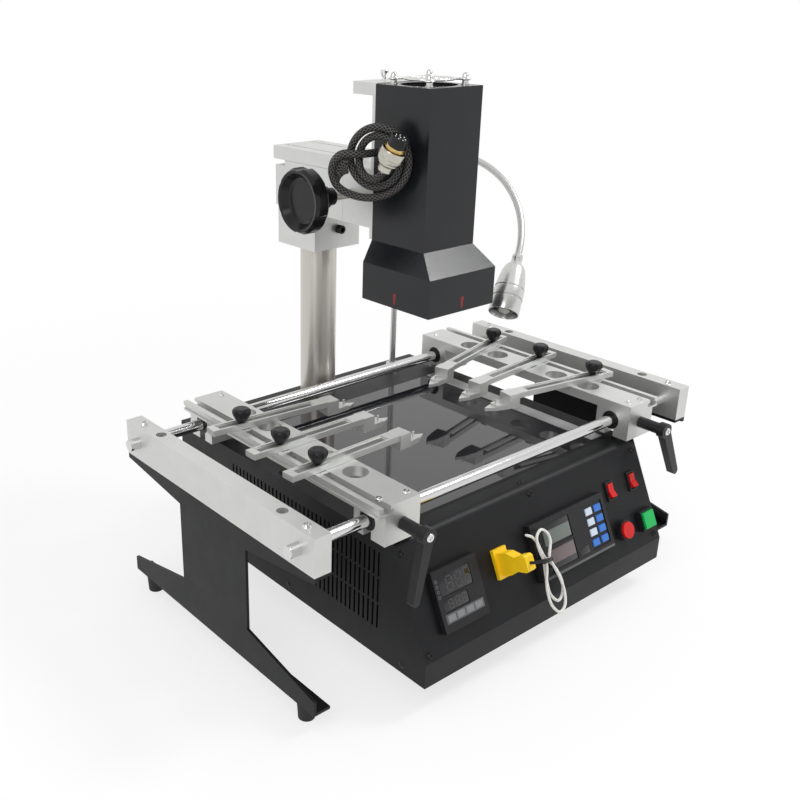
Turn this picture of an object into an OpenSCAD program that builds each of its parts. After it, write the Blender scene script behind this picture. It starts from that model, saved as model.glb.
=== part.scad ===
// BGA rework station: a preheater with a glass hot field, a sloped control panel and a
// column that carries a rack-driven top heater, with a separate clamping frame for the board.
// Millimetres, Z up from the bench, the operator stands on the -Y side.

/* [Housing] */
// Width of the housing
chassis_w = 298; // [290:1:310]
// Depth of the housing at its base
chassis_d = 330; // [326:1:340]
// Height of the housing above its feet
chassis_h = 105; // [102:1:115]
// Height of the housing's rubber feet
chassis_foot_h = 25; // [20:1:30]
// Sheet thickness of the housing
sheet_t = 1.5; // [1:0.1:2]
// Height of the upright band below the control panel
band_h = 21; // [18:1:24]
// How far the control panel leans back
panel_run = 40; // [36:1:44]
// Thickness of the control panel
panel_t = 2; // [1.5:0.1:3]
// Radius of the bend along the panel's top edge
panel_bend_r = 8; // [5:0.5:9]
// Depth of the flat strip behind that bend
panel_strip = 17; // [14:0.5:19]
// Width of the glass over the heating field
glass_w = 230; // [200:1:240]
// Depth of the glass over the heating field
glass_d = 210; // [190:1:212]
// Thickness of the glass
glass_t = 4; // [3:0.5:5]
// Gap round inset plates and pass-through holes
inset_gap = 0.4; // [0.2:0.1:0.8]

/* [Side vents] */
// Width of a vent slot
vent_w = 2; // [1.5:0.1:2.6]
// Height of a vent slot
vent_h = 21; // [16:0.5:22]
// Distance between neighbouring slots
vent_pitch = 5.3; // [4.5:0.1:5.5]
// Slots in one row
vent_n = 37; // [20:1:38]
// Distance between the three rows
vent_row_pitch = 23; // [22.5:0.1:24]

/* [Panel fittings] */
// Side of the square controller face
controller_s = 48; // [46:0.5:50]
// Width of the wide controller face
controller_w = 96; // [90:1:98]
// How far the controller faces stand out of the panel
bezel_n = 5; // [4:0.5:5.5]
// Depth of the controllers' cases behind the panel
case_n = 60; // [50:1:62]
// Diameter of the round push button
button_d = 14.5; // [13:0.5:16]
// Travel of the push buttons
button_travel = 3; // [2:0.1:3]
// Tilt of a rocker to either side
rocker_tilt = 10; // [6:1:12]

/* [Column and arm] */
// Diameter of the column
column_d = 35; // [32:0.5:38]
// Height of the arm's clamp above the housing
clamp_rise = 152; // [140:1:165]
// Width of the clamp, rail and arm
arm_w = 54; // [52:0.5:58]
// Height of the clamp block
clamp_h = 35.5; // [30:0.5:40]
// Height of the rail above the clamp
rail_h = 42.5; // [41:0.5:46]
// Thickness of the sliding top plate
arm_plate_t = 12; // [10:0.5:14]
// Sideways and upright play of the sliding T profile
slide_gap = 0.2; // [0.1:0.05:0.3]
// Diameter of the handwheel
wheel_d = 55; // [48:1:60]
// Diameter of the handwheel's shaft
shaft_d = 8; // [7:0.5:8]
// Play of shafts in their bores, on the radius
run_gap = 0.05; // [0.02:0.01:0.08]
// Gear module of rack and pinion
gear_m = 1; // [1:0.05:1.05]

/* [Heater head] */
// Width of the head's upper box
head_w = 58; // [56:0.5:62]
// Depth of the head's upper box
head_d = 62; // [60:0.5:64]
// Height of the head's upper box
head_h = 127; // [122:1:135]
// Width of the hood
hood_w = 77; // [72:1:82]
// Depth of the hood
hood_d = 80; // [78:1:84]
// Height of the hood's upright wall
hood_h = 32; // [30:1:36]
// Height of the sloped shoulder over the hood
shoulder_h = 17.5; // [14:0.5:20]
// Wall thickness of the head
head_t = 1.5; // [1:0.1:2]
// Side of the cooling fan
fan_s = 50; // [46:1:52]
// Thickness of the cooling fan
fan_t = 15; // [12:0.5:18]
// Diameter of the heater cable
cable_d = 6.4; // [6:0.2:6.8]

/* [Board frame] */
// Width over the two end bars
frame_w = 450; // [446:1:470]
// Length of end bars and stands, front to back
bar_l = 257; // [250:1:262]
// Thickness of an end bar
bar_t = 15; // [14:0.5:17]
// Height of an end bar
bar_h = 31; // [29:0.5:34]
// Diameter of the guide rods
rod_d = 10; // [8:0.5:11]
// Distance between the guide rods
rod_span = 220; // [216:1:222]
// Length of rod that stands out of each end bar
rod_stub = 9; // [5:0.5:14]
// Sheet thickness of the stands
stand_t = 2.5; // [2:0.1:3]
// Height of the stands' rubber feet
stand_foot_h = 15; // [10:1:20]

/* [Clamp beams] */
// Width of a beam plate
beam_w = 41; // [40:0.5:44]
// Thickness of a beam plate
beam_t = 8.5; // [8:0.25:10]
// Length of a beam plate
beam_l = 258; // [250:1:262]
// Gap between the housing's top and the beams' end blocks
beam_gap = 3.5; // [2:0.5:8]
// Width of a beam's end block
block_w = 34.5; // [33:0.5:36]
// Length of a beam's end block
block_l = 34; // [32:0.5:36]
// Diameter of the large holes along a beam plate
beam_hole_d = 20.5; // [16:0.5:22]
// Inner edge of the left beam from the middle
left_beam_x = 126; // [120:1:140]
// Inner edge of the right beam from the middle
right_beam_x = 132; // [120:1:140]

/* [Clamp arms] */
// Length of an arm's slotted bar
arm_l = 125; // [120:1:130]
// Width of an arm's slotted bar
arm_bar_w = 12; // [11:0.5:13]
// Thickness of an arm's slotted bar
arm_bar_t = 5; // [4.5:0.25:6]
// Length of the claw at an arm's end
claw_l = 22; // [18:0.5:24]
// Diameter of a clamp knob
knob_d = 15.6; // [14:0.2:17]
// Height of a clamp knob
knob_h = 11.5; // [10.5:0.5:13]
// Diameter of a knob's stud
stud_d = 5; // [4.5:0.1:5.2]

/* [Work lamp] */
// Diameter of the gooseneck
neck_d = 6.5; // [5:0.5:8]
// Diameter of the lamp head
lamp_d = 27; // [24:0.5:29]

/* [Hidden] */
$fn = 64;
eps = 0.01;
front_y = -chassis_d / 2;
rear_y = chassis_d / 2;
floor_z = chassis_foot_h;
top_z = floor_z + chassis_h;
panel_z = floor_z + band_h;
panel_rise = chassis_h - band_h;
panel_a = atan2(panel_rise, panel_run);
bend_tan = panel_bend_r * tan(panel_a / 2);
strip_y = front_y + panel_run + panel_strip;
inner_w = chassis_w - 2 * sheet_t;
vent_y = -16;
vent_z = floor_z + 58.5;
foot_d = 24;
foot_inset = 52;
// panel fittings: place along the panel and up its slope
square_at = [-102, 39];
wide_at = [34, 39];
tc_at = [-50, 45];
light_at = [98.5, 59];
fan_sw_at = [130, 59];
stop_at = [102, 22];
start_at = [133.5, 22];
case_gap = 0.3;
window_n = 0.8;
tc_w = 15;
tc_h = 24;
tc_n = 3;
plug_w = 9;
plug_h = 18;
plug_l = 29;
rocker_w = 6.6;
rocker_l = 12.2;
rocker_n = 4;
rocker_frame = 1.6;
rocker_gap = 0.4;
rocker_room = 0.9;
button_n = 7;
button_ring = 1.5;
button_gap = 0.3;
button_ring_n = 5;
button_stem_d = 6;
button_seat = 1;
// heating field
tray_drop = 38;
tray_rim = 1.5;
tray_inset = 1;
tile_s = 60;
tile_pitch = 64;
tile_t = 14;
tile_lift = 6;
post_d = 10;
post_x = 95;
post_y = 60;
// column, clamp and arm
column_x = 0;
column_y = rear_y - 21;
column_t = 3;
clamp_z = top_z + clamp_rise;
clamp_d = column_d + 20;
clamp_front = column_y - clamp_d / 2;
blind_gap = 0.5;
rail_z = clamp_z + clamp_h;
rail_front = column_y - 66;
rail_rear = column_y + 31;
rail_relief = [14, 5];
arm_z = rail_z + rail_h + slide_gap;
arm_rear = column_y + 34;
arm_top = arm_z + arm_plate_t;
tongue_neck = 18;
tongue_w = 28;
tongue_t = 7;
tongue_z = arm_z - 14;
groove_x = 15;
groove = [1.6, 1.2];
house_d = 35.8;
house_front = rail_front - 36;
house_h = 49.5;
// rack and pinion
teeth = 12;
pitch_r = gear_m * teeth / 2;
rack_add = 0.75 * gear_m;
rack_ded = 1.2 * gear_m;
pin_add = 0.9 * gear_m;
pin_ded = 1.15 * gear_m;
backlash = 0.3;
rack_pitch = PI * gear_m;
pinion_y = house_front + 26;
pinion_z = rail_z + 25.5;
pinion_w = 10;
pinion_room = 0.6;
rack_y = pinion_y - pitch_r;
shaft_in = 20;
wheel_x = arm_w / 2 + 20;
wheel_hub_d = 15;
wheel_collar_d = 19;
wheel_hub_l = 25;
wheel_t = 14;
wheel_dish = 7;
wheel_end = 11;
wheel_lobes = 6;
wheel_lobe_d = 22;
wheel_lobe_in = 2.4;
// head and its lift plate
head_rear = house_front - 5;
head_y = head_rear - head_d / 2;
hood_y = head_rear - hood_d / 2;
head_z = rail_z - 9;
hood_z = head_z - shoulder_h - hood_h;
head_top = head_z + head_h;
plate_gap = 0.2;
plate_y = head_rear + plate_gap;
plate_t = 4.4;
plate_rear = plate_y + plate_t;
plate_w = 56;
lift_neck = 12;
lift_wing = 22;
lift_wing_y = [6, 12];
bracket_d = 28.5;
bracket_h = 9.5;
gland_at = [head_y + 16.5, head_top - 51.5];
gland_d = 12;
gland_out = 5;
heater_pan_gap = 0.2;
heater_pan_z = hood_z + hood_h - 6;
heater_pan_t = 1.5;
// fan
fan_y = head_y;
fan_bore = fan_s - 4;
fan_hub_d = 20;
fan_pin_d = 3;
fan_hole = fan_s / 2 - 5;
fan_blades = 7;
blade_t = 1.2;
blade_tilt = 38;
guard_wire = 1.6;
guard_rise = 4.5;
guard_rings = [8, 14, 20];
guard_screw_d = 5;
guard_screw_h = 9.5;
// heater cable: a flat coil at the head's left side, its plane turned towards the operator
coil_at = [-head_w / 2 - 17, head_y + 8.5, head_top - 55.5];
coil_turn = 25;
coil_r = 31.2;
coil_band = 17;
coil_w = 7.6;
connector_at = coil_point([-11.5, 13.5, -6.5]);
connector_turn = [27, 7, 0];
connector_d = 21;
connector_l = 31;
cable_out = [
    [-head_w / 2 - gland_out, gland_at[0], gland_at[1]],
    coil_point([5.2, -7.75, 4]), coil_point([8.25, -1.24, 4]), coil_point([10.5, 2.28, 4]),
    coil_point([13.57, 5.1, 4]), coil_point([17.3, 7.03, 4]), coil_point([22.2, 8, 3.9]),
    coil_point([27.1, 7.7, 2.8]), coil_point([32.3, 7, -0.7]), coil_point([35.8, 6.2, -5.9]),
    coil_point([37, 5.4, -12]), coil_point([35.8, 4.6, -18.1]), coil_point([32.3, 3.9, -23.3]),
    coil_point([27.1, 3.2, -26.8]), coil_point([20.5, 2.5, -29.2]), coil_point([13, 1.7, -30.6]),
    coil_point([5, 1, -30.6]), coil_point([-4, 0.4, -28.9])
];
cable_end = [
    coil_point([15.9, -0.6, 0.2]), coil_point([14, 2.1, -7.05]), coil_point([8.65, 4.9, -12.36]),
    coil_point([1.4, 7.8, -14.3]), coil_point([-5.85, 10.8, -12.36]), connector_at
];
// thermocouple lead, in panel places: along, up the slope, out of the panel
tc_lead_d = 2.4;
tc_out = tc_n + plug_l;
tc_route = [
    [tc_at[0], tc_at[1], tc_out], [tc_at[0] + 0.6, tc_at[1], tc_out + 3.5],
    [tc_at[0] + 3, tc_at[1], tc_out + 7], [tc_at[0] + 7, tc_at[1] - 0.4, tc_out + 9],
    [tc_at[0] + 12, tc_at[1] - 1.4, tc_out + 8.4], [tc_at[0] + 19, tc_at[1] - 3.4, tc_out + 3],
    [tc_at[0] + 26, tc_at[1] - 5.6, tc_out - 5], [tc_at[0] + 32.5, tc_at[1] - 8, tc_out - 13.6],
    [tc_at[0] + 37.4, tc_at[1] - 10.2, tc_out - 19.6], [tc_at[0] + 40, tc_at[1] - 13, tc_out - 22.3]
];
hank_x = -6.5;
hank_v = 23.5;
hank_l = 70;
hank_w = 22;
hank_t = 5;
hank_n = bezel_n + 0.6;
// board frame
rod_z = top_z + beam_gap + 14.5;
bar_z = rod_z - bar_h / 2;
bar_x = frame_w / 2 - bar_t;
stand_foot_d = 15;
stand_foot_x = frame_w / 2 - 8;
stand_foot_y = 110;
stand_web = 46;
flange_in = 15.5;
counterbore = [83, 9, 6, 5.5];
// clamp beams
beam_z = rod_z + 9.5;
beam_top = beam_z + beam_t;
hole_pitch = 36.5;
hole_in = 14;
slot_in = beam_w - 8;
slot_w = 7;
slot_under = 12;
slot_lip = 3.2;
slot_h = 3.6;
side_groove = [2.5, 1.2];
block_z = top_z + beam_gap;
block_y = beam_l / 2 - block_l;
block_slit = 8.5;
bush_d = 17;
bush_t = 2;
nut_l = 20;
nut_gap = 0.3;
lever_in = block_w / 2;
lever_y = front_y + 8.5;
lever_t = 7;
lever_l = 55;
lever_hub_d = 13.5;
lever_pin_d = 8;
lever_pin_l = 12;
lever_neck_d = 10;
lever_gap = 0.4;
left_lever_tilt = 11;
right_lever_tilt = 28;
// clamp arms: place along the beam, turn, and reach of the bar's end from the stud
left_arms = [[50, -5], [-4, 0], [-51, 2]];
right_arms = [[60, -14], [-1, -5], [-64, 10]];
left_reach = 95;
right_reach = 105;
arm_gap = 0.2;
arm_slot_w = stud_d + 0.6;
arm_slot_in = 8;
arm_groove = [8.4, 1];
arm_post = [12, 14, 8];
claw_t = 4.5;
claw_nose = 10;
claw_ledge = [10, 1.5];
claw_pin = [2, 4];
knob_gap = 0.3;
knob_flutes = 7;
knob_flute_d = 4.6;
// work lamp
lamp_x = 103;
lamp_y = column_y;
lamp_rise = 181;
lamp_bend = 50;
lamp_turn = 19.5;
lamp_roll = 39.7;
lamp_hook = 102;
lamp_hook_a = 87.3;
lamp_len = 56;
lamp_sleeve_d = neck_d + 0.8;
lamp_sleeve_l = 3;
lamp_nut_d = 15;
// the part's own origin: bench level under the middle of the whole outline
button_front = front_y + (stop_at[1] - button_d / 2) * cos(panel_a) - button_n * sin(panel_a);
middle_y = (arm_rear + min(front_y, button_front)) / 2;

// outline in Y and Z pushed out along X, centred
module across(w) {
    translate([-w / 2, 0, 0])
        rotate([90, 0, 90])
            linear_extrude(w)
                children();
}

// outline in X and Z pushed out along Y from a front edge
module along(y0, y1) {
    translate([0, y1, 0])
        rotate([90, 0, 0])
            linear_extrude(y1 - y0)
                children();
}

// place on the sloped panel: X along, Y up the slope, Z out of the panel
module on_panel(at, n = 0) {
    translate([at[0], front_y, panel_z])
        rotate([panel_a, 0, 0])
            translate([0, at[1], n])
                children();
}

module plate(w, d, h, z = 0) {
    translate([-w / 2, -d / 2, z])
        cube([w, d, h]);
}

module mirrored() {
    children();
    mirror([1, 0, 0])
        children();
}

module placed() {
    translate([0, -middle_y, 0])
        children();
}

// tube swept along route points: rings of sides turned square to the route
function unit(v) = v / norm(v);
function heading(p, i) =
    i == 0 ? unit(p[1] - p[0]) :
    i == len(p) - 1 ? unit(p[i] - p[i - 1]) :
    unit(unit(p[i + 1] - p[i]) + unit(p[i] - p[i - 1]));
function ring(p, i, r, sides, ref) =
    let (t = heading(p, i))
    let (a = unit(cross(t, ref)))
    let (b = cross(t, a))
    [for (k = [0:sides - 1]) p[i] + r * (cos(360 * k / sides) * a + sin(360 * k / sides) * b)];

module tube(p, d, sides, ref) {
    n = len(p);
    points = [for (i = [0:n - 1]) each ring(p, i, d / 2, sides, ref)];
    walls = [
        for (i = [0:n - 2]) for (k = [0:sides - 1])
            [i * sides + k, i * sides + (k + 1) % sides,
             (i + 1) * sides + (k + 1) % sides, (i + 1) * sides + k]
    ];
    start = [for (k = [sides - 1:-1:0]) k];
    finish = [for (k = [0:sides - 1]) (n - 1) * sides + k];
    polyhedron(points, concat([start], walls, [finish]), 4);
}

module chassis_base() {
    color("#26272a") difference() {
        union() {
            across(inner_w) polygon([
                [front_y, floor_z], [rear_y, floor_z], [rear_y, top_z - sheet_t],
                [rear_y - sheet_t, top_z - sheet_t], [rear_y - sheet_t, floor_z + sheet_t],
                [front_y + sheet_t, floor_z + sheet_t], [front_y + sheet_t, panel_z],
                [front_y, panel_z]
            ]);
        }
        translate([-100, rear_y - sheet_t - 1, floor_z + 25])
            cube([28 + 2 * inset_gap, sheet_t + 2, 20 + 2 * inset_gap]);
        translate([90, rear_y + 1, floor_z + 35])
            rotate([90, 0, 0])
                cylinder(d = 20 + 2 * inset_gap, h = sheet_t + 2);
    }
}

module cover_outline() {
    polygon([
        [front_y, floor_z], [rear_y, floor_z], [rear_y, top_z],
        [front_y + panel_run, top_z], [front_y, panel_z]
    ]);
}

module chassis_cover() {
    color("#1d1e20") difference() {
        across(chassis_w) cover_outline();
        along(front_y - 1, rear_y + 1)
            translate([-inner_w / 2, floor_z - 1])
                square([inner_w, chassis_h + 1 - sheet_t]);
        translate([-inner_w / 2, front_y - 1, floor_z])
            cube([inner_w, strip_y + inset_gap - front_y + 1, chassis_h + 1]);
        plate(glass_w + 2 * inset_gap, glass_d + 2 * inset_gap, 2 * sheet_t, top_z - sheet_t - 1);
        translate([column_x, column_y, top_z - sheet_t - 1])
            cylinder(d = column_d + 2 * inset_gap, h = sheet_t + 2);
        translate([lamp_x, lamp_y, top_z - sheet_t - 1])
            cylinder(d = neck_d + 2 * inset_gap, h = sheet_t + 2);
        across(chassis_w + 2)
            for (row = [-1:1])
                for (i = [0:vent_n - 1])
                    translate([
                        vent_y + (i - (vent_n - 1) / 2) * vent_pitch - vent_w / 2,
                        vent_z + row * vent_row_pitch - vent_h / 2
                    ])
                        square([vent_w, vent_h]);
    }
}

// the folded panel sheet: slope, rolled upper edge and the strip behind it
module panel_sheet() {
    bend_c = [front_y + panel_run + bend_tan, top_z - panel_bend_r];
    slope_n = [-sin(panel_a), cos(panel_a)];
    inner_r = panel_bend_r - panel_t;
    across(inner_w) polygon([
        [front_y, panel_z], bend_c + panel_bend_r * slope_n, bend_c + inner_r * slope_n,
        [front_y + panel_t / sin(panel_a), panel_z]
    ]);
    translate([-inner_w / 2, bend_c[0], bend_c[1]])
        rotate([90, 0, 90])
            rotate([0, 0, 90])
                rotate_extrude(angle = panel_a)
                    translate([inner_r, 0])
                        square([panel_t, inner_w]);
    translate([-inner_w / 2, bend_c[0], top_z - panel_t])
        cube([inner_w, strip_y - bend_c[0], panel_t]);
}

module control_panel() {
    color("#2b2c2f") difference() {
        panel_sheet();
        on_panel(square_at)
            plate(controller_s - 3 + case_gap, controller_s - 3 + case_gap, 4 * panel_t, -3 * panel_t);
        on_panel(wide_at)
            plate(controller_w - 3 + case_gap, controller_s - 3 + case_gap, 4 * panel_t, -3 * panel_t);
        on_panel(tc_at)
            plate(tc_w - 4, tc_h - 6, 4 * panel_t, -3 * panel_t);
        for (at = [light_at, fan_sw_at])
            on_panel(at)
                plate(rocker_w + 2 * rocker_gap, rocker_l + 2 * rocker_room, 4 * panel_t, -3 * panel_t);
        for (at = [stop_at, start_at])
            on_panel(at, -3 * panel_t)
                cylinder(d = button_stem_d + 2, h = 4 * panel_t);
    }
}

module glass_plate() {
    color("#0b0c0e")
        plate(glass_w, glass_d, glass_t, top_z - glass_t);
}

module chassis_feet() {
    color("#151515")
        for (x = [-1, 1], y = [-1, 1])
            translate([x * (chassis_w / 2 - foot_inset), y * (chassis_d / 2 - foot_inset), 0])
                cylinder(d1 = foot_d - 4, d2 = foot_d, h = chassis_foot_h);
}

// tray that carries the glass on its rim, with nine flat ceramic heaters
module bottom_heaters() {
    tray_z = top_z - tray_drop;
    tray_w = glass_w - 2 * tray_inset;
    tray_d = glass_d - 2 * tray_inset;
    color("#8d8f92") difference() {
        union() {
            plate(tray_w, tray_d, tray_drop - glass_t, tray_z);
            for (x = [-1, 1], y = [-1, 1])
                translate([x * post_x, y * post_y, floor_z + sheet_t])
                    cylinder(d = post_d, h = tray_z - floor_z);
        }
        plate(tray_w - 2 * tray_rim, tray_d - 2 * tray_rim, tray_drop, tray_z + tray_rim);
    }
    color("#c9c4b8")
        for (i = [-1:1], j = [-1:1])
            translate([i * tile_pitch, j * tile_pitch, tray_z + tray_rim]) {
                cylinder(d = post_d, h = tile_lift);
                plate(tile_s, tile_s, tile_t, tile_lift);
            }
}

module controller(w, windows) {
    difference() {
        union() {
            plate(w, controller_s, bezel_n);
            translate([0, 0, -case_n])
                plate(w - 3, controller_s - 3, case_n + eps);
        }
        for (b = windows)
            translate([b[0], b[1], bezel_n - window_n])
                cube([b[2], b[3], window_n + 1]);
    }
}

module left_controller() {
    color("#101113")
        on_panel(square_at)
            controller(controller_s, [[-19, 3, 34, 16], [-19, -9, 26, 10]]);
}

module right_controller() {
    color("#101113")
        on_panel(wide_at)
            controller(controller_w, [[-36, 1, 36, 18], [-36, -19, 36, 18], [20, -19, 24, 38]]);
}

module tc_socket() {
    color("#c99a1c")
        on_panel(tc_at) {
            plate(tc_w, tc_h, tc_n);
            translate([0, 0, -10])
                plate(tc_w - 4.4, tc_h - 6.4, 10 + eps);
        }
}

module tc_plug() {
    r = plug_h / 2;
    color("#c99a1c")
        on_panel(tc_at, tc_n)
            across(plug_w) polygon([
                [-r, 0], [r, 0], [r, plug_l * 0.34], [r * 0.8, plug_l * 0.48], [r * 0.6, plug_l * 0.62],
                [r * 0.69, plug_l * 0.72], [r * 0.75, plug_l * 0.93], [r * 0.6, plug_l],
                [-r * 0.6, plug_l], [-r * 0.75, plug_l * 0.93], [-r * 0.69, plug_l * 0.72],
                [-r * 0.6, plug_l * 0.62], [-r * 0.8, plug_l * 0.48], [-r, plug_l * 0.34]
            ]);
}

function panel_point(q) = [
    q[0],
    front_y + q[1] * cos(panel_a) - q[2] * sin(panel_a),
    panel_z + q[1] * sin(panel_a) + q[2] * cos(panel_a)
];

module tc_lead() {
    color("#d8d8d4")
        tube([for (q = tc_route) panel_point(q)], tc_lead_d, 8, [0, 0, 1]);
}

module tc_hank() {
    color("#d8d8d4")
        on_panel([hank_x, hank_v], hank_n)
            linear_extrude(hank_t) {
                square([hank_w, hank_l - hank_w], center = true);
                for (s = [-1, 1])
                    translate([0, s * (hank_l - hank_w) / 2])
                        circle(d = hank_w);
            }
}

module rocker_bezel() {
    room_w = rocker_w + 2 * rocker_gap;
    room_l = rocker_l + 2 * rocker_room;
    difference() {
        plate(room_w + 2 * rocker_frame, room_l + 2 * rocker_frame, rocker_frame);
        plate(room_w, room_l, rocker_frame + 2, -1);
    }
}

module switch_bezels() {
    color("#0f0f10") {
        for (at = [light_at, fan_sw_at])
            on_panel(at)
                rocker_bezel();
        on_panel(stop_at) difference() {
            cylinder(d = button_d + 2 * (button_ring + button_gap), h = button_ring_n);
            translate([0, 0, button_seat])
                cylinder(d = button_d + 2 * button_gap, h = button_ring_n);
            translate([0, 0, -1])
                cylinder(d = button_stem_d + 2 * run_gap, h = button_ring_n);
        }
        on_panel(start_at) difference() {
            side = button_d + 2 * button_gap;
            plate(side + 2 * button_ring, side + 2 * button_ring, button_ring_n);
            plate(side, side, button_ring_n, button_seat);
            translate([0, 0, -1])
                cylinder(d = button_stem_d + 2 * run_gap, h = button_ring_n);
        }
    }
}

// mains inlet with an open recess, and the round socket for the top heater's plug
module rear_sockets() {
    color("#121214") {
        translate([-100 + inset_gap, rear_y, floor_z + 25 + inset_gap]) difference() {
            union() {
                translate([-6, 0, -4])
                    cube([40, 2.5, 28]);
                translate([0, -18, 0])
                    cube([28, 18 + eps, 20]);
            }
            translate([2, -14, 2])
                cube([24, 20, 16]);
        }
    }
    color("#b4b6b8")
        translate([90, rear_y, floor_z + 35])
            rotate([-90, 0, 0]) difference() {
                union() {
                    plate(26, 26, 2.5);
                    translate([0, 0, -14])
                        cylinder(d = 20, h = 14 + 9);
                }
                translate([0, 0, 6])
                    cylinder(d = 16, h = 4);
            }
}

module column() {
    color("#c9ccce")
        translate([column_x, column_y, floor_z + sheet_t]) difference() {
            cylinder(d = column_d, h = rail_z - 2 - blind_gap - floor_z - sheet_t);
            translate([0, 0, -1])
                cylinder(d = column_d - 2 * column_t, h = rail_z - floor_z - 10);
        }
}

// gooseneck: upright, bend and a rolled hook that ends in a bullet lamp
module work_lamp() {
    bend_z = top_z + lamp_rise;
    translate([lamp_x, lamp_y, 0])
        rotate([0, 0, lamp_turn]) {
            color("#9ea1a4") {
                translate([0, 0, top_z - 8])
                    cylinder(d = neck_d, h = lamp_rise + 8);
                translate([0, 0, top_z])
                    cylinder(d = lamp_nut_d, h = 7);
                translate([0, -lamp_bend, bend_z])
                    rotate([90, 0, 90])
                        rotate_extrude(angle = 90)
                            translate([lamp_bend, 0])
                                circle(d = neck_d);
            }
            color("#9ea1a4")
                translate([0, -lamp_bend, bend_z + lamp_bend])
                    rotate([90, 0, 0])
                        cylinder(d = lamp_sleeve_d, h = lamp_sleeve_l, center = true);
            translate([0, -lamp_bend, bend_z + lamp_bend])
                rotate([0, lamp_roll, 0])
                    translate([0, 0, -lamp_hook]) {
                        color("#9ea1a4")
                            rotate([90, 0, 90])
                                rotate([0, 0, 90])
                                    rotate_extrude(angle = lamp_hook_a)
                                        translate([lamp_hook, 0])
                                            circle(d = neck_d);
                        translate([0, -lamp_hook * sin(lamp_hook_a), lamp_hook * cos(lamp_hook_a)])
                            rotate([90 + lamp_hook_a, 0, 0])
                                lamp_body();
                    }
        }
}

// turned bullet that swells from the neck to a plain barrel with a sunk lens
module lamp_body() {
    color("#b9bcbf")
        rotate_extrude() polygon([
            [0, -1], [neck_d / 2 + 1.5, -1], [neck_d / 2 + 1.5, 7], [lamp_d * 0.3, 10],
            [lamp_d * 0.44, 20], [lamp_d / 2, 32], [lamp_d / 2, lamp_len],
            [lamp_d / 2 - 1.2, lamp_len], [lamp_d / 2 - 1.2, lamp_len - 3], [0, lamp_len - 3]
        ]);
}

module rocker(tilt) {
    rotate([tilt, 0, 0]) {
        across(rocker_w) polygon([
            [-rocker_l / 2, 0.4], [-rocker_l / 2, rocker_n], [0, rocker_n - 1.4],
            [rocker_l / 2, rocker_n], [rocker_l / 2, 0.4]
        ]);
        translate([-rocker_w / 2, 0, 0])
            rotate([0, 90, 0])
                cylinder(d = 5, h = rocker_w);
    }
}

module light_rocker() {
    color("#c62a22")
        on_panel(light_at)
            rocker(-rocker_tilt);
}

module fan_rocker() {
    color("#c62a22")
        on_panel(fan_sw_at)
            rocker(-rocker_tilt);
}

module button_stem() {
    translate([0, 0, -8])
        cylinder(d = button_stem_d, h = 8 + button_seat + button_travel + 0.5);
}

module stop_button() {
    color("#c8231e")
        on_panel(stop_at) {
            button_stem();
            translate([0, 0, button_seat + button_travel + 0.2])
                cylinder(d = button_d, h = button_n - button_seat - button_travel - 0.2);
        }
}

module start_button() {
    color("#1c9a4c")
        on_panel(start_at) {
            button_stem();
            plate(button_d, button_d, button_n - button_seat - button_travel - 0.2,
                button_seat + button_travel + 0.2);
        }
}

// clamp on the column with the grooved rail of the arm on its back
module column_clamp() {
    color("#c4c7c9") difference() {
        union() {
            translate([-arm_w / 2, clamp_front, clamp_z])
                cube([arm_w, clamp_d, clamp_h]);
            translate([-arm_w / 2, rail_front, rail_z])
                cube([arm_w, rail_rear - rail_front, rail_h]);
        }
        translate([column_x, column_y, clamp_z - 1])
            cylinder(d = column_d + 2 * run_gap, h = clamp_h - 2 + 1);
        translate([-arm_w / 2 - 1, rail_rear - rail_relief[0], rail_z + rail_h - rail_relief[1]])
            cube([arm_w + 2, rail_relief[0] + 1, rail_relief[1] + 1]);
        translate([-tongue_neck / 2 - slide_gap, rail_front - 1, tongue_z])
            cube([tongue_neck + 2 * slide_gap, rail_rear - rail_front + 2, rail_h]);
        translate([-tongue_w / 2 - slide_gap, rail_front - 1, tongue_z - slide_gap])
            cube([tongue_w + 2 * slide_gap, rail_rear - rail_front + 2, tongue_t + 2 * slide_gap]);
    }
}

// sliding arm: top plate with a T tongue, and the pinion housing with the lift's channel
module arm_slide() {
    color("#d0d3d5") difference() {
        union() {
            translate([-arm_w / 2, rail_front - 1, arm_z])
                cube([arm_w, arm_rear - rail_front + 1, arm_plate_t]);
            translate([-arm_w / 2, house_front, rail_z])
                cube([arm_w, house_d, house_h]);
            translate([-tongue_neck / 2, rail_front - 10, tongue_z])
                cube([tongue_neck, arm_rear - rail_front + 10, arm_z - tongue_z + 1]);
            translate([-tongue_w / 2, rail_front - 10, tongue_z])
                cube([tongue_w, arm_rear - rail_front + 10, tongue_t]);
        }
        for (s = [-1, 1])
            translate([s * groove_x - groove[0] / 2, rail_front + 1, arm_top - groove[1]])
                cube([groove[0], arm_rear, groove[1] + 1]);
        translate([0, 0, rail_z - 1])
            linear_extrude(house_h + 2)
                lift_section(slide_gap);
        translate([-pinion_w / 2 - pinion_room, pinion_y, pinion_z])
            rotate([0, 90, 0])
                cylinder(r = pitch_r + pin_add + pinion_room, h = pinion_w + 2 * pinion_room);
        translate([-arm_w / 2 - 1, pinion_y, pinion_z])
            rotate([0, 90, 0])
                cylinder(d = shaft_d + 2 * run_gap, h = arm_w / 2 + 1 + shaft_in + 1);
    }
}

// T section of the lift bar in plan, widened by a play
module lift_section(g) {
    translate([-lift_neck / 2 - g, plate_rear - 1])
        square([lift_neck + 2 * g, lift_wing_y[0] + 2]);
    translate([-lift_wing / 2 - g, plate_rear + lift_wing_y[0] - g])
        square([lift_wing + 2 * g, lift_wing_y[1] - lift_wing_y[0] + 2 * g]);
    translate([-pinion_w / 2 - g, plate_rear + lift_wing_y[0]])
        square([pinion_w + 2 * g, rack_y + rack_add - plate_rear - lift_wing_y[0] + 2 * g]);
}

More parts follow.
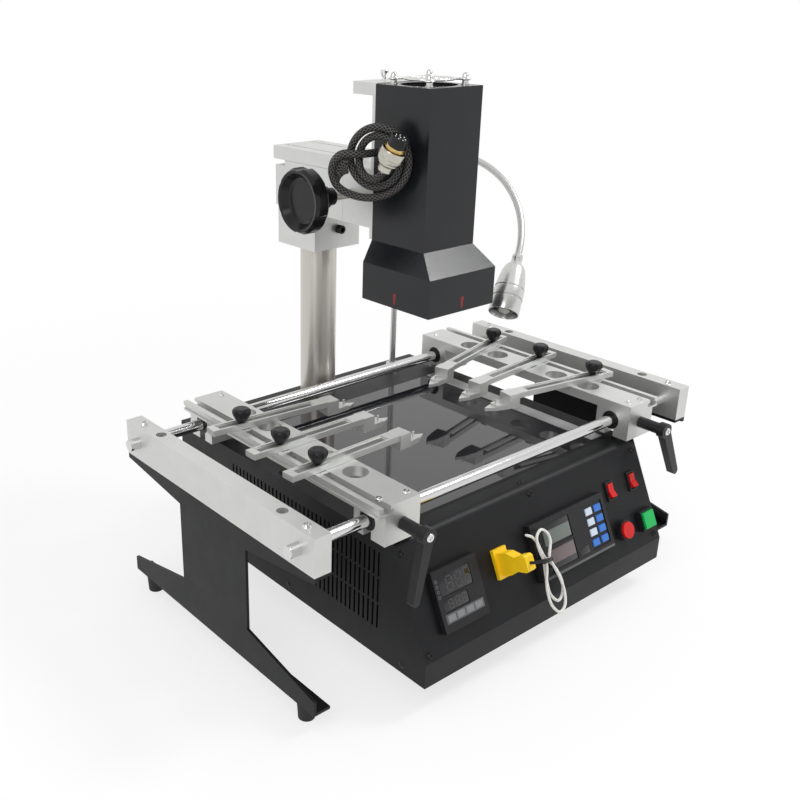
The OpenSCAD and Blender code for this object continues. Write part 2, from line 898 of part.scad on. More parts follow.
function tooth_half(h) = rack_pitch / 4 - backlash / 2 - h * tan(20);

// pinion outline: straight-sided teeth on a root circle, a gap facing the rack
module pinion_outline() {
    root_r = pitch_r - pin_ded;
    tip_r = pitch_r + pin_add;
    root_half = 0.92 * gear_m;
    pitch_half = rack_pitch / 4 - backlash / 2;
    tip_half = 0.3 * gear_m;
    circle(root_r + 0.1);
    for (i = [0:teeth - 1])
        rotate((i + 0.5) * 360 / teeth)
            polygon([
                [root_r - 1, -root_half], [root_r + 0.5, -root_half], [pitch_r, -pitch_half],
                [tip_r, -tip_half], [tip_r, tip_half], [pitch_r, pitch_half],
                [root_r + 0.5, root_half], [root_r - 1, root_half]
            ]);
}

module pinion_shaft() {
    color("#b9bcbf")
        translate([0, pinion_y, pinion_z]) {
            translate([-wheel_x - wheel_hub_l - wheel_t + wheel_end, 0, 0])
                rotate([0, 90, 0])
                    cylinder(d = shaft_d, h = wheel_x + wheel_hub_l + wheel_t - wheel_end + shaft_in);
            translate([-pinion_w / 2, 0, 0])
                rotate([90, 0, 90])
                    linear_extrude(pinion_w)
                        pinion_outline();
        }
}

// dished, lobed handwheel on a long hub
module handwheel() {
    r = wheel_d / 2;
    hub = wheel_hub_d / 2;
    bore = shaft_d / 2 + run_gap;
    rim_z = wheel_hub_l + wheel_t;
    bore_end = rim_z - wheel_end + blind_gap;
    color("#141415")
        translate([-wheel_x, pinion_y, pinion_z])
            rotate([0, -90, 0]) difference() {
                rotate_extrude() polygon([
                    [bore, 0], [hub - 1, 0], [hub, 1], [hub, 7], [wheel_collar_d / 2, 8],
                    [wheel_collar_d / 2, 14], [hub, 15], [hub, wheel_hub_l - 6], [r * 0.6, wheel_hub_l - 2.5],
                    [r - 1.5, wheel_hub_l + 0.5], [r, wheel_hub_l + 2.5], [r, rim_z - 3], [r - 2, rim_z],
                    [r - 4.5, rim_z - 0.6], [r - 8.5, rim_z - wheel_dish + 1], [r - 10.5, rim_z - wheel_dish],
                    [0, rim_z - wheel_dish], [0, bore_end], [bore, bore_end]
                ]);
                for (i = [0:wheel_lobes - 1])
                    rotate(i * 360 / wheel_lobes)
                        translate([r + wheel_lobe_d / 2 - wheel_lobe_in, 0, wheel_hub_l - 6])
                            cylinder(d = wheel_lobe_d, h = wheel_t + 8);
            }
}

// lift plate with its top bracket, T bar and toothed rack
module lift_plate() {
    bar_h_all = head_h - 8.5;
    teeth_n = floor((bar_h_all - rack_pitch) / rack_pitch);
    first = ceil((head_z + rack_pitch / 2 - pinion_z) / rack_pitch);
    color("#aeb1b4") union() {
        translate([-plate_w / 2, plate_y, head_z])
            cube([plate_w, plate_t, bar_h_all]);
        translate([-plate_w / 2, plate_y, head_top - bracket_h])
            cube([plate_w, bracket_d, bracket_h + 0.5]);
        difference() {
            translate([0, 0, head_z])
                linear_extrude(bar_h_all)
                    lift_section(0);
            translate([-pinion_w / 2 - 1, rack_y - rack_ded, head_z - 1])
                cube([pinion_w + 2, 10, bar_h_all + 2]);
        }
        across(pinion_w)
            for (i = [first:first + teeth_n - 1])
                translate([rack_y, pinion_z + i * rack_pitch])
                    polygon([
                        [-rack_ded - 0.2, -tooth_half(-rack_ded)], [-rack_ded, -tooth_half(-rack_ded)],
                        [rack_add, -tooth_half(rack_add)], [rack_add, tooth_half(rack_add)],
                        [-rack_ded, tooth_half(-rack_ded)], [-rack_ded - 0.2, tooth_half(-rack_ded)]
                    ]);
    }
}

// head outline: box, sloped shoulder and hood, kept in by t
module head_solid(t, low) {
    bw = head_w / 2 - t;
    hw = hood_w / 2 - t;
    intersection() {
        along(head_rear - hood_d - 1, head_rear + 1) polygon([
            [-hw, hood_z - low], [hw, hood_z - low], [hw, hood_z + hood_h], [bw, head_z],
            [bw, head_top - t], [-bw, head_top - t], [-bw, head_z], [-hw, hood_z + hood_h]
        ]);
        across(hood_w + 2) polygon([
            [head_rear - hood_d + t, hood_z - low], [head_rear - t, hood_z - low],
            [head_rear - t, head_top - t], [head_rear - head_d + t, head_top - t],
            [head_rear - head_d + t, head_z], [head_rear - hood_d + t, hood_z + hood_h]
        ]);
    }
}

module head_shell() {
    color("#17181a") {
        difference() {
            head_solid(0, 0);
            head_solid(head_t, 1);
            translate([0, fan_y, head_top - head_t - 1])
                cylinder(d = fan_bore, h = head_t + 2);
            for (x = [-1, 1], y = [-1, 1])
                translate([x * fan_hole, fan_y + y * fan_hole, head_top - head_t - 1])
                    cylinder(d = guard_screw_d + 0.6, h = head_t + 2);
        }
        translate([-head_w / 2 - gland_out, gland_at[0], gland_at[1]])
            rotate([0, 90, 0])
                cylinder(d = gland_d, h = gland_out);
    }
}

// flat ceramic heater under a reflector pan
module top_heater() {
    pan = [hood_w - 2 * head_t - 2 * heater_pan_gap, hood_d - 2 * head_t - 2 * heater_pan_gap];
    color("#c9c4b8")
        translate([0, hood_y, 0]) {
            plate(pan[0], pan[1], heater_pan_t, heater_pan_z);
            plate(tile_s, tile_s, tile_t, heater_pan_z - tile_t);
        }
}

module head_fan() {
    fan_z = head_top - head_t - fan_t;
    guard_z = head_top + guard_rise;
    color("#1a1b1d")
        translate([0, fan_y, fan_z]) {
            difference() {
                plate(fan_s, fan_s, fan_t);
                translate([0, 0, -1])
                    cylinder(d = fan_bore - 1, h = fan_t + 2);
            }
            cylinder(d = fan_hub_d, h = 2);
            cylinder(d = fan_pin_d, h = fan_t - 3);
            for (a = [0, 120, 240])
                rotate(a)
                    translate([0, -1.5, 0])
                        cube([fan_bore / 2, 3, 2]);
        }
    color("#d5d8da")
        translate([0, fan_y, 0]) {
            for (r = guard_rings)
                translate([0, 0, guard_z])
                    rotate_extrude()
                        translate([r, 0])
                            circle(d = guard_wire, $fn = 24);
            for (a = [45, 135])
                rotate(a)
                    translate([-fan_hole * sqrt(2), 0, guard_z])
                        rotate([0, 90, 0])
                            cylinder(d = guard_wire, h = 2 * fan_hole * sqrt(2), $fn = 24);
            for (x = [-1, 1], y = [-1, 1])
                translate([x * fan_hole, y * fan_hole, head_top - head_t]) {
                    cylinder(d = guard_screw_d, h = head_t + guard_screw_h - guard_screw_d / 2);
                    translate([0, 0, head_t + guard_screw_h - guard_screw_d / 2])
                        sphere(d = guard_screw_d);
                }
        }
}

module fan_rotor() {
    color("#222326")
        translate([0, fan_y, head_top - head_t - fan_t + 2.6]) difference() {
            union() {
                cylinder(d = fan_hub_d, h = fan_t - 5);
                for (i = [0:fan_blades - 1])
                    rotate(i * 360 / fan_blades)
                        translate([0, 0, (fan_t - 5) / 2])
                            rotate([blade_tilt, 0, 0])
                                translate([fan_hub_d / 2 - 2, -5, -blade_t / 2])
                                    cube([fan_bore / 2 - fan_hub_d / 2 - 1, 10, blade_t]);
            }
            translate([0, 0, -1])
                cylinder(d = fan_pin_d + 2 * run_gap, h = fan_t);
        }
}

// a place in the coil's own plane: towards the rear, out of the plane, up
function coil_point(q) = coil_at + [
    -q[0] * sin(coil_turn) - q[1] * cos(coil_turn),
    q[0] * cos(coil_turn) - q[1] * sin(coil_turn),
    q[2]
];

module heater_cable() {
    color("#1b1c1e") {
        tube(cable_out, cable_d, 10, [1, 0, 0.01]);
        tube(cable_end, cable_d, 10, [1, 0, 0.01]);
    }
}

module cable_coil() {
    color("#1b1c1e")
        translate(coil_at)
            rotate([0, 90, coil_turn])
                rotate_extrude()
                    translate([coil_r - coil_band, -coil_w / 2])
                        square([coil_band, coil_w]);
}

module cable_connector() {
    ring = connector_d / 2;
    core = ring - 2.9;
    color("#c2c5c7")
        translate(connector_at)
            rotate(connector_turn)
                rotate_extrude() polygon([
                    [0, 0], [cable_d / 2 + 1.4, 0], [cable_d / 2 + 2.8, 1.2], [cable_d / 2 + 2.8, 6],
                    [ring - 2, 8], [ring - 2, 9.6], [ring, 10.2], [ring, 20], [ring - 1.3, 20],
                    [ring - 1.3, 14], [core, 14], [core, connector_l - 1], [core - 0.8, connector_l],
                    [0, connector_l]
                ]);
}

// folded sheet stands, narrow in the middle, under both end bars
module side_stands() {
    half = bar_l / 2;
    z0 = stand_foot_h;
    z1 = bar_z;
    color("#232427")
        mirrored() {
            translate([frame_w / 2 - stand_t / 2, 0, 0])
                across(stand_t)
                    polygon([
                        [-half, z0], [half, z0], [half, z0 + 13], [stand_web, z0 + 30],
                        [stand_web, z1 - 15.5], [half, z1 - 4.5], [half, z1],
                        [-half, z1], [-half, z1 - 4.5], [-stand_web, z1 - 15.5],
                        [-stand_web, z0 + 30], [-half, z0 + 13]
                    ]);
            for (z = [z0, z1 - stand_t])
                translate([frame_w / 2 - flange_in, -half, z])
                    cube([flange_in - eps, bar_l, stand_t]);
        }
}

module stand_feet() {
    color("#111112")
        for (x = [-1, 1], y = [-1, 1])
            translate([x * stand_foot_x, y * stand_foot_y, 0])
                cylinder(d1 = stand_foot_d - 2, d2 = stand_foot_d, h = stand_foot_h);
}

module end_bars() {
    color("#c6c9cb")
        mirrored() difference() {
            translate([bar_x, -bar_l / 2, bar_z])
                cube([bar_t, bar_l, bar_h]);
            for (s = [-1, 1]) {
                translate([bar_x - 1, s * rod_span / 2, rod_z])
                    rotate([0, 90, 0])
                        cylinder(d = rod_d + 2 * run_gap, h = bar_t + 2);
                translate([bar_x + bar_t / 2, s * counterbore[0], bar_z - 1])
                    cylinder(d = counterbore[3], h = bar_h + 2);
                translate([bar_x + bar_t / 2, s * counterbore[0], bar_z + bar_h - counterbore[2]])
                    cylinder(d = counterbore[1], h = counterbore[2] + 1);
            }
        }
}

module guide_rods() {
    color("#dfe2e4")
        for (s = [-1, 1])
            translate([-frame_w / 2 - rod_stub, s * rod_span / 2, rod_z])
                rotate([0, 90, 0])
                    cylinder(d = rod_d, h = frame_w + 2 * rod_stub);
}

// beam plate drawn outwards from its inner edge
module beam_plate() {
    difference() {
        translate([0, -beam_l / 2, beam_z])
            cube([beam_w, beam_l, beam_t]);
        translate([slot_in - slot_w / 2, -beam_l / 2 - 1, beam_top - slot_lip - 0.1])
            cube([slot_w, beam_l + 2, slot_lip + 1]);
        translate([slot_in - slot_under / 2, -beam_l / 2 - 1, beam_top - slot_lip - slot_h])
            cube([slot_under, beam_l + 2, slot_h]);
        translate([beam_w - side_groove[1], -beam_l / 2 - 1, beam_z + beam_t / 2 - side_groove[0] / 2 - 1])
            cube([side_groove[1] + 1, beam_l + 2, side_groove[0]]);
        for (i = [-2:2])
            translate([hole_in, i * hole_pitch, beam_z - 1])
                cylinder(d = beam_hole_d, h = beam_t + 2);
    }
}

module left_beam_plate() {
    color("#d3d6d8")
        translate([-left_beam_x, 0, 0])
            mirror([1, 0, 0])
                beam_plate();
}

module right_beam_plate() {
    color("#d3d6d8")
        translate([right_beam_x, 0, 0])
            beam_plate();
}

module beam_blocks() {
    for (s = [-1, 1])
        difference() {
            translate([0, s > 0 ? block_y : -block_y - block_l, block_z])
                cube([block_w, block_l, beam_z - block_z]);
            translate([-1, s * rod_span / 2, rod_z])
                rotate([0, 90, 0])
                    cylinder(d = rod_d + 2 * run_gap, h = block_w + 2);
            translate([-1, s * rod_span / 2 - block_slit / 2, block_z - 1])
                cube([block_w + 2, block_slit, rod_z - block_z + 1]);
            for (x = [-1, block_w - bush_t])
                translate([x, s * rod_span / 2, rod_z])
                    rotate([0, 90, 0])
                        cylinder(d = bush_d, h = bush_t + 1);
            if (s < 0)
                translate([lever_in, -beam_l / 2 + lever_pin_l, rod_z])
                    rotate([90, 0, 0])
                        cylinder(d = lever_pin_d + 2 * run_gap, h = lever_pin_l + 1);
        }
}

module left_beam_blocks() {
    color("#cbced0")
        translate([-left_beam_x, 0, 0])
            mirror([1, 0, 0])
                beam_blocks();
}

module right_beam_blocks() {
    color("#cbced0")
        translate([right_beam_x, 0, 0])
            beam_blocks();
}

// locking lever: pin in the end block, hub and a flat handle that hangs down
module lever(tilt) {
    translate([0, lever_y, rod_z])
        rotate([0, tilt, 0]) {
            along(0, lever_t) {
                circle(d = lever_hub_d);
                polygon([[-4.8, 0], [4.8, 0], [3.4, -lever_l + 3.4], [-3.4, -lever_l + 3.4]]);
                translate([0, -lever_l + 3.4])
                    circle(3.4);
            }
            along(lever_t, -beam_l / 2 - lever_gap - lever_y)
                circle(d = lever_neck_d);
            along(lever_t, -beam_l / 2 + lever_pin_l - lever_gap - lever_y)
                circle(d = lever_pin_d);
        }
}

module left_lever() {
    color("#1a1a1b")
        translate([-left_beam_x - lever_in, 0, 0])
            lever(left_lever_tilt);
}

module right_lever() {
    color("#1a1a1b")
        translate([right_beam_x + lever_in, 0, 0])
            lever(-right_lever_tilt);
}

// places an arm's stud on a beam: the left side points to +X, the right side to -X
module at_left(i) {
    translate([-left_beam_x - slot_in, left_arms[i][0], beam_top])
        children();
}

module at_right(i) {
    translate([right_beam_x + slot_in, right_arms[i][0], beam_top])
        mirror([1, 0, 0])
            children();
}

module t_nut() {
    color("#8f9295") difference() {
        union() {
            plate(slot_w - 2 * nut_gap, nut_l, slot_lip + 0.5, -slot_lip - 0.6);
            plate(slot_under - 2 * nut_gap, nut_l, slot_h - 2 * nut_gap, -slot_lip - slot_h + nut_gap);
        }
        translate([0, 0, -10])
            cylinder(d = stud_d + 2 * run_gap, h = 12);
    }
}

module knob() {
    z0 = arm_gap + arm_bar_t + knob_gap;
    color("#131314")
        difference() {
            union() {
                translate([0, 0, z0])
                    rotate_extrude() polygon([
                        [0, 0], [knob_d / 4, 0], [knob_d / 3, 1.5], [knob_d / 2 - 0.6, 5.2],
                        [knob_d / 2, 6.6], [knob_d / 2, knob_h - 2.2], [knob_d / 2 - 1, knob_h - 0.8],
                        [knob_d / 2 - 2.6, knob_h], [0, knob_h]
                    ]);
                translate([0, 0, -slot_lip - slot_h + nut_gap])
                    cylinder(d = stud_d, h = slot_lip + slot_h - nut_gap + z0 + 1);
            }
            for (i = [0:knob_flutes - 1])
                rotate(i * 360 / knob_flutes)
                    translate([knob_d / 2 + 1.2, 0, z0 + 1])
                        cylinder(d = knob_flute_d, h = knob_h, $fn = 24);
        }
}

// slotted bar with a post at its end and a claw that takes the board's edge
module arm(turn, reach) {
    slot_a = reach - arm_l + arm_slot_in;
    slot_b = reach - 25;
    post_x0 = reach - arm_post[0];
    claw_z = -arm_post[2];
    tip_x = reach + claw_l;
    ledge_x = tip_x - claw_ledge[0];
    color("#c9cccf")
        rotate(turn)
            translate([0, 0, arm_gap]) {
                difference() {
                    union() {
                        translate([reach - arm_l, -arm_bar_w / 2, 0])
                            cube([arm_l - 1, arm_bar_w, arm_bar_t]);
                        translate([post_x0, -arm_post[1] / 2, claw_z])
                            cube([arm_post[0], arm_post[1], arm_post[2] + arm_bar_t]);
                        translate([0, 0, claw_z])
                            linear_extrude(claw_t)
                                polygon([
                                    [reach - 1, -arm_post[1] / 2], [tip_x - claw_nose, -claw_nose / 2],
                                    [tip_x - 1.5, -1], [tip_x, 0], [tip_x - 1.5, 1],
                                    [tip_x - claw_nose, claw_nose / 2], [reach - 1, arm_post[1] / 2]
                                ]);
                    }
                    translate([slot_a, -arm_slot_w / 2, -1])
                        cube([slot_b - slot_a, arm_slot_w, arm_bar_t + 2]);
                    translate([slot_a - 2, -arm_groove[0] / 2, arm_bar_t - arm_groove[1]])
                        cube([slot_b - slot_a + 4, arm_groove[0], arm_groove[1] + 1]);
                    translate([ledge_x, -arm_post[1] / 2, claw_z + claw_t - claw_ledge[1]])
                        cube([claw_ledge[0] + 1, arm_post[1], claw_ledge[1] + 1]);
                }
                translate([ledge_x - claw_pin[0], 0, claw_z + claw_t - 1])
                    cylinder(d = claw_pin[0], h = claw_pin[1] + 1);
            }
}

placed() chassis_base();
placed() chassis_cover();
placed() control_panel();
placed() glass_plate();
placed() chassis_feet();
placed() bottom_heaters();
placed() left_controller();
placed() right_controller();
placed() tc_socket();
placed() tc_plug();
placed() tc_lead();
placed() tc_hank();
placed() switch_bezels();
placed() rear_sockets();
placed() column();
placed() work_lamp();
placed() light_rocker();
placed() fan_rocker();
placed() stop_button();
placed() start_button();
placed() column_clamp();
placed() arm_slide();
placed() pinion_shaft();
placed() handwheel();
placed() lift_plate();
placed() head_shell();
placed() top_heater();
placed() head_fan();
placed() fan_rotor();
placed() heater_cable();
placed() cable_coil();
placed() cable_connector();
placed() side_stands();
placed() stand_feet();
placed() end_bars();
placed() guide_rods();
placed() left_beam_plate();
placed() left_beam_blocks();
placed() right_beam_plate();
placed() right_beam_blocks();
placed() left_lever();
placed() right_lever();
placed() at_left(0) t_nut();  // left_t_nut_1
placed() at_left(1) t_nut();  // left_t_nut_2
placed() at_left(2) t_nut();  // left_t_nut_3
placed() at_right(0) t_nut();  // right_t_nut_1
placed() at_right(1) t_nut();  // right_t_nut_2
placed() at_right(2) t_nut();  // right_t_nut_3
placed() at_left(0) knob();  // left_knob_1
placed() at_left(1) knob();  // left_knob_2
placed() at_left(2) knob();  // left_knob_3
placed() at_right(0) knob();  // right_knob_1
placed() at_right(1) knob();  // right_knob_2
placed() at_right(2) knob();  // right_knob_3
placed() at_left(0) arm(left_arms[0][1], left_reach);  // left_arm_1
placed() at_left(1) arm(left_arms[1][1], left_reach);  // left_arm_2
placed() at_left(2) arm(left_arms[2][1], left_reach);  // left_arm_3
placed() at_right(0) arm(right_arms[0][1], right_reach);  // right_arm_1
placed() at_right(1) arm(right_arms[1][1], right_reach);  // right_arm_2
placed() at_right(2) arm(right_arms[2][1], right_reach);  // right_arm_3
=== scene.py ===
import math

import bmesh
import bpy
from mathutils import Matrix, Vector


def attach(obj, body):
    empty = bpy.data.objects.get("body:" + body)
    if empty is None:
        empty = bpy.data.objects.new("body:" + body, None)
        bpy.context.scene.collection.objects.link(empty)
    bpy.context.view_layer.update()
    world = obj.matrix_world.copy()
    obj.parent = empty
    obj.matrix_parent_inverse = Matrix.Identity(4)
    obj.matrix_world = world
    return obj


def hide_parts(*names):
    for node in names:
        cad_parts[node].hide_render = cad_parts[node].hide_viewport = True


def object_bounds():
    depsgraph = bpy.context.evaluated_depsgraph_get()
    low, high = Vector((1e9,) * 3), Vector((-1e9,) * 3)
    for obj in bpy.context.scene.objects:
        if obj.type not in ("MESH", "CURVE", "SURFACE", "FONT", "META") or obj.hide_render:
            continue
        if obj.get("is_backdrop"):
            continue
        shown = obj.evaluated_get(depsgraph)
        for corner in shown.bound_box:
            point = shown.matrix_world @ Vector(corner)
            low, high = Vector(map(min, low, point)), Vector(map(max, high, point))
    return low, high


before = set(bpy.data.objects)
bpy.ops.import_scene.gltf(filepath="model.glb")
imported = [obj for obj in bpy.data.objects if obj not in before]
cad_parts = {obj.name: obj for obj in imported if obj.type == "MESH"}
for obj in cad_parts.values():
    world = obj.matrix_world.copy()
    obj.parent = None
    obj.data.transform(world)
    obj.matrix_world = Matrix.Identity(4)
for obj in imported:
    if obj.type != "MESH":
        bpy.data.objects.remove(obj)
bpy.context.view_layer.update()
scene = bpy.context.scene


# Viewpoint. The camera stands before the station's left front corner, a little higher than the lamp,
# and looks down on the glass, as an operator does who walks up to the bench.
frame_shift = 6.5  # the shared frame's middle lies this far behind the station's


def at(x, y, z):
    """A place on the station in millimetres (x right, y back, z up from the bench), in metres."""
    return Vector((x, y - frame_shift, z)) / 1000


camera = bpy.data.objects.new("viewpoint", bpy.data.cameras.new("viewpoint"))
scene.collection.objects.link(camera)
camera.location = at(-586.69, -573.15, 501.13)
camera.rotation_euler = Vector((0.57559, 0.72449, -0.37923)).to_track_quat("-Z", "Y").to_euler()
camera.data.sensor_width = 36
camera.data.lens = 44.216
camera.data.shift_x, camera.data.shift_y = 0.1191, -0.0026
scene.camera = camera


# Heater cable. A round multi-core cable in a shiny black braided sleeve. It leaves the head by a
# grommet, lies in a flat coil turned towards the operator and ends in a loose round connector.
class Tone:
    """One output of a material's nodes. Arithmetic on it adds Math nodes."""

    def __init__(self, tree, out=None):
        self.tree, self.out = tree, out

    def node(self, kind, settings, sockets, out=0):
        """A new node: its settings first, then the values or links of its sockets."""
        made = self.tree.nodes.new(kind)
        for name, value in settings.items():
            setattr(made, name, value)
        for name, value in sockets.items():
            if isinstance(value, Tone):
                self.tree.links.new(value.out, made.inputs[name])
            else:
                made.inputs[name].default_value = value
        return Tone(self.tree, made.outputs[out])

    def math(self, operation, a, b=0.0):
        return self.node("ShaderNodeMath", {"operation": operation}, {0: a, 1: b})

    def __add__(self, other):
        return self.math("ADD", self, other)

    def __radd__(self, other):
        return self.math("ADD", other, self)

    def __sub__(self, other):
        return self.math("SUBTRACT", self, other)

    def __rsub__(self, other):
        return self.math("SUBTRACT", other, self)

    def __mul__(self, other):
        return self.math("MULTIPLY", self, other)

    def noise(self, scale, detail=2.0, stretch=(1, 1, 1)):
        """Even noise over the piece, about -0.5 to 0.5, in cycles per metre."""
        here = self.node("ShaderNodeTexCoord", {}, {}, "Object")
        here = self.node("ShaderNodeMapping", {}, {"Vector": here, "Scale": stretch})
        sockets = {"Vector": here, "Scale": scale, "Detail": detail}
        return self.node("ShaderNodeTexNoise", {}, sockets) - 0.5

    def mix(self, share, low, high):
        """From the colour low to the colour high."""
        rgba = {"data_type": "RGBA", "clamp_factor": True}
        return self.node("ShaderNodeMix", rgba, {0: share, 6: (*low, 1), 7: (*high, 1)}, 2)

    def bump(self, height, depth, strength=1.0):
        """A surface raised by height, 0 to 1, over a depth in metres."""
        sockets = {"Height": height, "Distance": depth, "Strength": strength}
        return self.node("ShaderNodeBump", {}, sockets)


def finish_of(name, paint):
    """A new finish: paint takes an empty Tone and returns the values of the surface's sockets."""
    made = bpy.data.materials.new(name)
    made.use_nodes = True
    surface = made.node_tree.nodes["Principled BSDF"]
    for socket, value in paint(Tone(made.node_tree)).items():
        if isinstance(value, Tone):
            made.node_tree.links.new(value.out, surface.inputs[socket])
        else:
            surface.inputs[socket].default_value = value
    return made


def piece(name, bm, finish, body, sharp=32):
    """The mesh bm becomes a piece with that finish, riding on a body."""
    bmesh.ops.remove_doubles(bm, verts=bm.verts, dist=1e-7)
    bmesh.ops.recalc_face_normals(bm, faces=bm.faces)
    mesh = bpy.data.meshes.new(name)
    bm.to_mesh(mesh)
    bm.free()
    mesh.polygons.foreach_set("use_smooth", [True] * len(mesh.polygons))
    mesh.set_sharp_from_angle(angle=math.radians(sharp))
    mesh.materials.append(finish)
    made = bpy.data.objects.new(name, mesh)
    scene.collection.objects.link(made)
    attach(made, body)
    return made


def smooth(points, steps):
    """A smooth curve through the points."""
    ends = [2 * points[0] - points[1], *points, 2 * points[-1] - points[-2]]
    path = []
    for a, b, c, d in zip(ends, ends[1:], ends[2:], ends[3:]):
        for i in range(steps):
            t = i / steps
            path.append(0.5 * (2 * b + (c - a) * t + (2 * a - 5 * b + 4 * c - d) * t**2
                               + (3 * b - a - 3 * c + d) * t**3))
    return path + [points[-1]]


def tube(bm, path, radius, sides):
    """A closed tube along the path. Its UV map counts diameters along it and turns around it."""
    uv = bm.loops.layers.uv.verify()
    side = (path[1] - path[0]).orthogonal()
    rings, along, run = [], [], 0
    for i, p in enumerate(path):
        ahead = (path[min(i + 1, len(path) - 1)] - path[max(i - 1, 0)]).normalized()
        side = (side - ahead * side.dot(ahead)).normalized()
        r = radius[i] if isinstance(radius, list) else radius
        ring = [p + r * (side * math.cos(a) + ahead.cross(side) * math.sin(a))
                for a in (math.tau * k / sides for k in range(sides))]
        rings.append([bm.verts.new(q) for q in ring])
        run += (p - path[max(i - 1, 0)]).length / (2 * r)
        along.append(run)
    for i in range(len(path) - 1):
        for k in range(sides):
            ring = [(i, k), (i, k + 1), (i + 1, k + 1), (i + 1, k)]
            face = bm.faces.new([rings[a][b % sides] for a, b in ring])
            for loop, (a, b) in zip(face.loops, ring):
                loop[uv].uv = (along[a], b / sides)
    bm.faces.new(rings[0])
    bm.faces.new(rings[-1])


def braid(t, carriers, pitch):
    """The raised strands of a braid on a tube's own UV map, 0 to 1."""
    here = t.node("ShaderNodeTexCoord", {}, {}, "UV")
    u = t.node("ShaderNodeSeparateXYZ", {}, {"Vector": here}, "X")
    v = t.node("ShaderNodeSeparateXYZ", {}, {"Vector": here}, "Y")
    right = t.math("SINE", (u * pitch + v * carriers) * math.tau)
    left = t.math("SINE", (u * pitch - v * carriers) * math.tau)
    return t.math("MAXIMUM", right, left) * 0.5 + 0.5


def braided(name, carriers, pitch):
    """A shiny black sleeve with highlights painted on the crowns of its strands."""
    sleeve_black, crown, highlight_narrowness = (0.0015, 0.0015, 0.002), (0.13, 0.122, 0.118), 9
    return finish_of(name, lambda t: {
        # The colour runs from the sleeve's black to a painted highlight on each strand's crown.
        "Base Color": t.mix(t.math("POWER", braid(t, carriers, pitch), highlight_narrowness), sleeve_black, crown),
        "Roughness": 0.6 - braid(t, carriers, pitch) * 0.28 + t.noise(400) * 0.1,
        "Specular IOR Level": 0.3,
        "Normal": t.bump(braid(t, carriers, pitch), 0.0006, 0.9),
    })


sleeve_finish = braided("black_braided_sleeve", 7, 1.6)
coil_turn, coil_x, coil_y, coil_z = math.radians(25), -46, 14.5, 380


def coil_point(s, q, up):
    """A place in the coil's plane in millimetres: s to the rear, q out of it, up from its middle."""
    c, n = math.cos(coil_turn), math.sin(coil_turn)
    return at(coil_x - s * n - q * c, coil_y + s * c - q * n, coil_z + up)


cable_d = 6.4
cable = [at(-34, 22.5, 384)]
cable += [coil_point(*p) for p in (
    (5.2, -7.75, 4), (8.25, -1.24, 4), (10.5, 2.28, 4), (13.57, 5.1, 4), (17.3, 7.03, 4),
    (22.2, 8, 3.9), (27.1, 7.7, 2.8), (32.3, 7, -0.7), (35.8, 6.2, -5.9), (37, 5.4, -12),
    (35.8, 4.6, -18.1), (32.3, 3.9, -23.3), (27.1, 3.2, -26.8), (20.5, 2.5, -29.2),
    (13, 1.7, -30.6), (5, 1, -30.6), (-4, 0.4, -28.9))]
# The turns draw in, and the last dips behind the others before the end comes out of the middle.
first_turn, last_turn, coil_r, inward = 205, 790, 28, 6.6
for turn in range(first_turn, last_turn + 1, 15):
    r = coil_r - inward * (turn - first_turn) / 360 - max((turn - 685) / 124, 0) ** 2
    a, q = math.radians(turn), -1.6 * min(max((turn - 600) / 130, 0), 1)
    cable.append(coil_point(r * math.sin(a), q, r * math.cos(a)))
cable += [coil_point(*p) for p in (
    (15.9, -0.6, 0.2), (14, 2.1, -7.05), (8.65, 4.9, -12.36), (1.4, 7.8, -14.3),
    (-5.85, 10.8, -12.36), (-11.5, 13.5, -6.5))]
cable_path = smooth(cable, 3)
bm = bmesh.new()
tube(bm, cable_path, cable_d / 2000, 16)
heater_cable = piece("heater_cable_sleeve", bm, sleeve_finish, "head")
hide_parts("heater_cable", "cable_coil")


def place(origin, out, across=(1, 0, 0)):
    """A frame at origin whose z axis points out and whose x axis leans to across."""
    z = Vector(out).normalized()
    x = Vector(across)
    x = (x - z * x.dot(z)).normalized()
    turn = Matrix((x, z.cross(x), z)).transposed().to_4x4()
    return Matrix.Translation(origin) @ turn


def lathe(bm, outline, where, sides=40):
    """An outline of (radius, height) in millimetres turned about where's z axis, a ring if closed."""
    rings = []
    for r, h in outline:
        n = sides if r else 1
        turns = [math.tau * k / n for k in range(n)]
        ring = [Vector((r * math.cos(a), r * math.sin(a), h)) / 1000 for a in turns]
        rings.append([bm.verts.new(where @ p) for p in ring])
    for low, high in zip(rings, rings[1:]):
        for k in range(sides):
            ring = [low[k % len(low)], low[(k + 1) % len(low)],
                    high[(k + 1) % len(high)], high[k % len(high)]]
            corners = list(dict.fromkeys(ring))
            if len(corners) > 2:
                bm.faces.new(corners)
    for ring in (rings[0], rings[-1]):
        if len(ring) > 1 and outline[0] != outline[-1]:
            bm.faces.new(ring)


def block(bm, low, high, where=Matrix(), edge=0.0, steps=2):
    """A block between two corners in millimetres in where's frame, with rounded edges."""
    made = bmesh.ops.create_cube(bm, size=1)["verts"]
    for v in made:
        v.co = Vector([l + (h - l) * (c + 0.5) for l, h, c in zip(low, high, v.co)]) / 1000
    edges = list({e for v in made for e in v.link_edges})
    if edge:
        made = bmesh.ops.bevel(bm, geom=edges, offset=edge / 1000, segments=steps,
                               affect="EDGES", profile=0.5)["verts"]
    bmesh.ops.transform(bm, matrix=where, verts=list(set(made)))


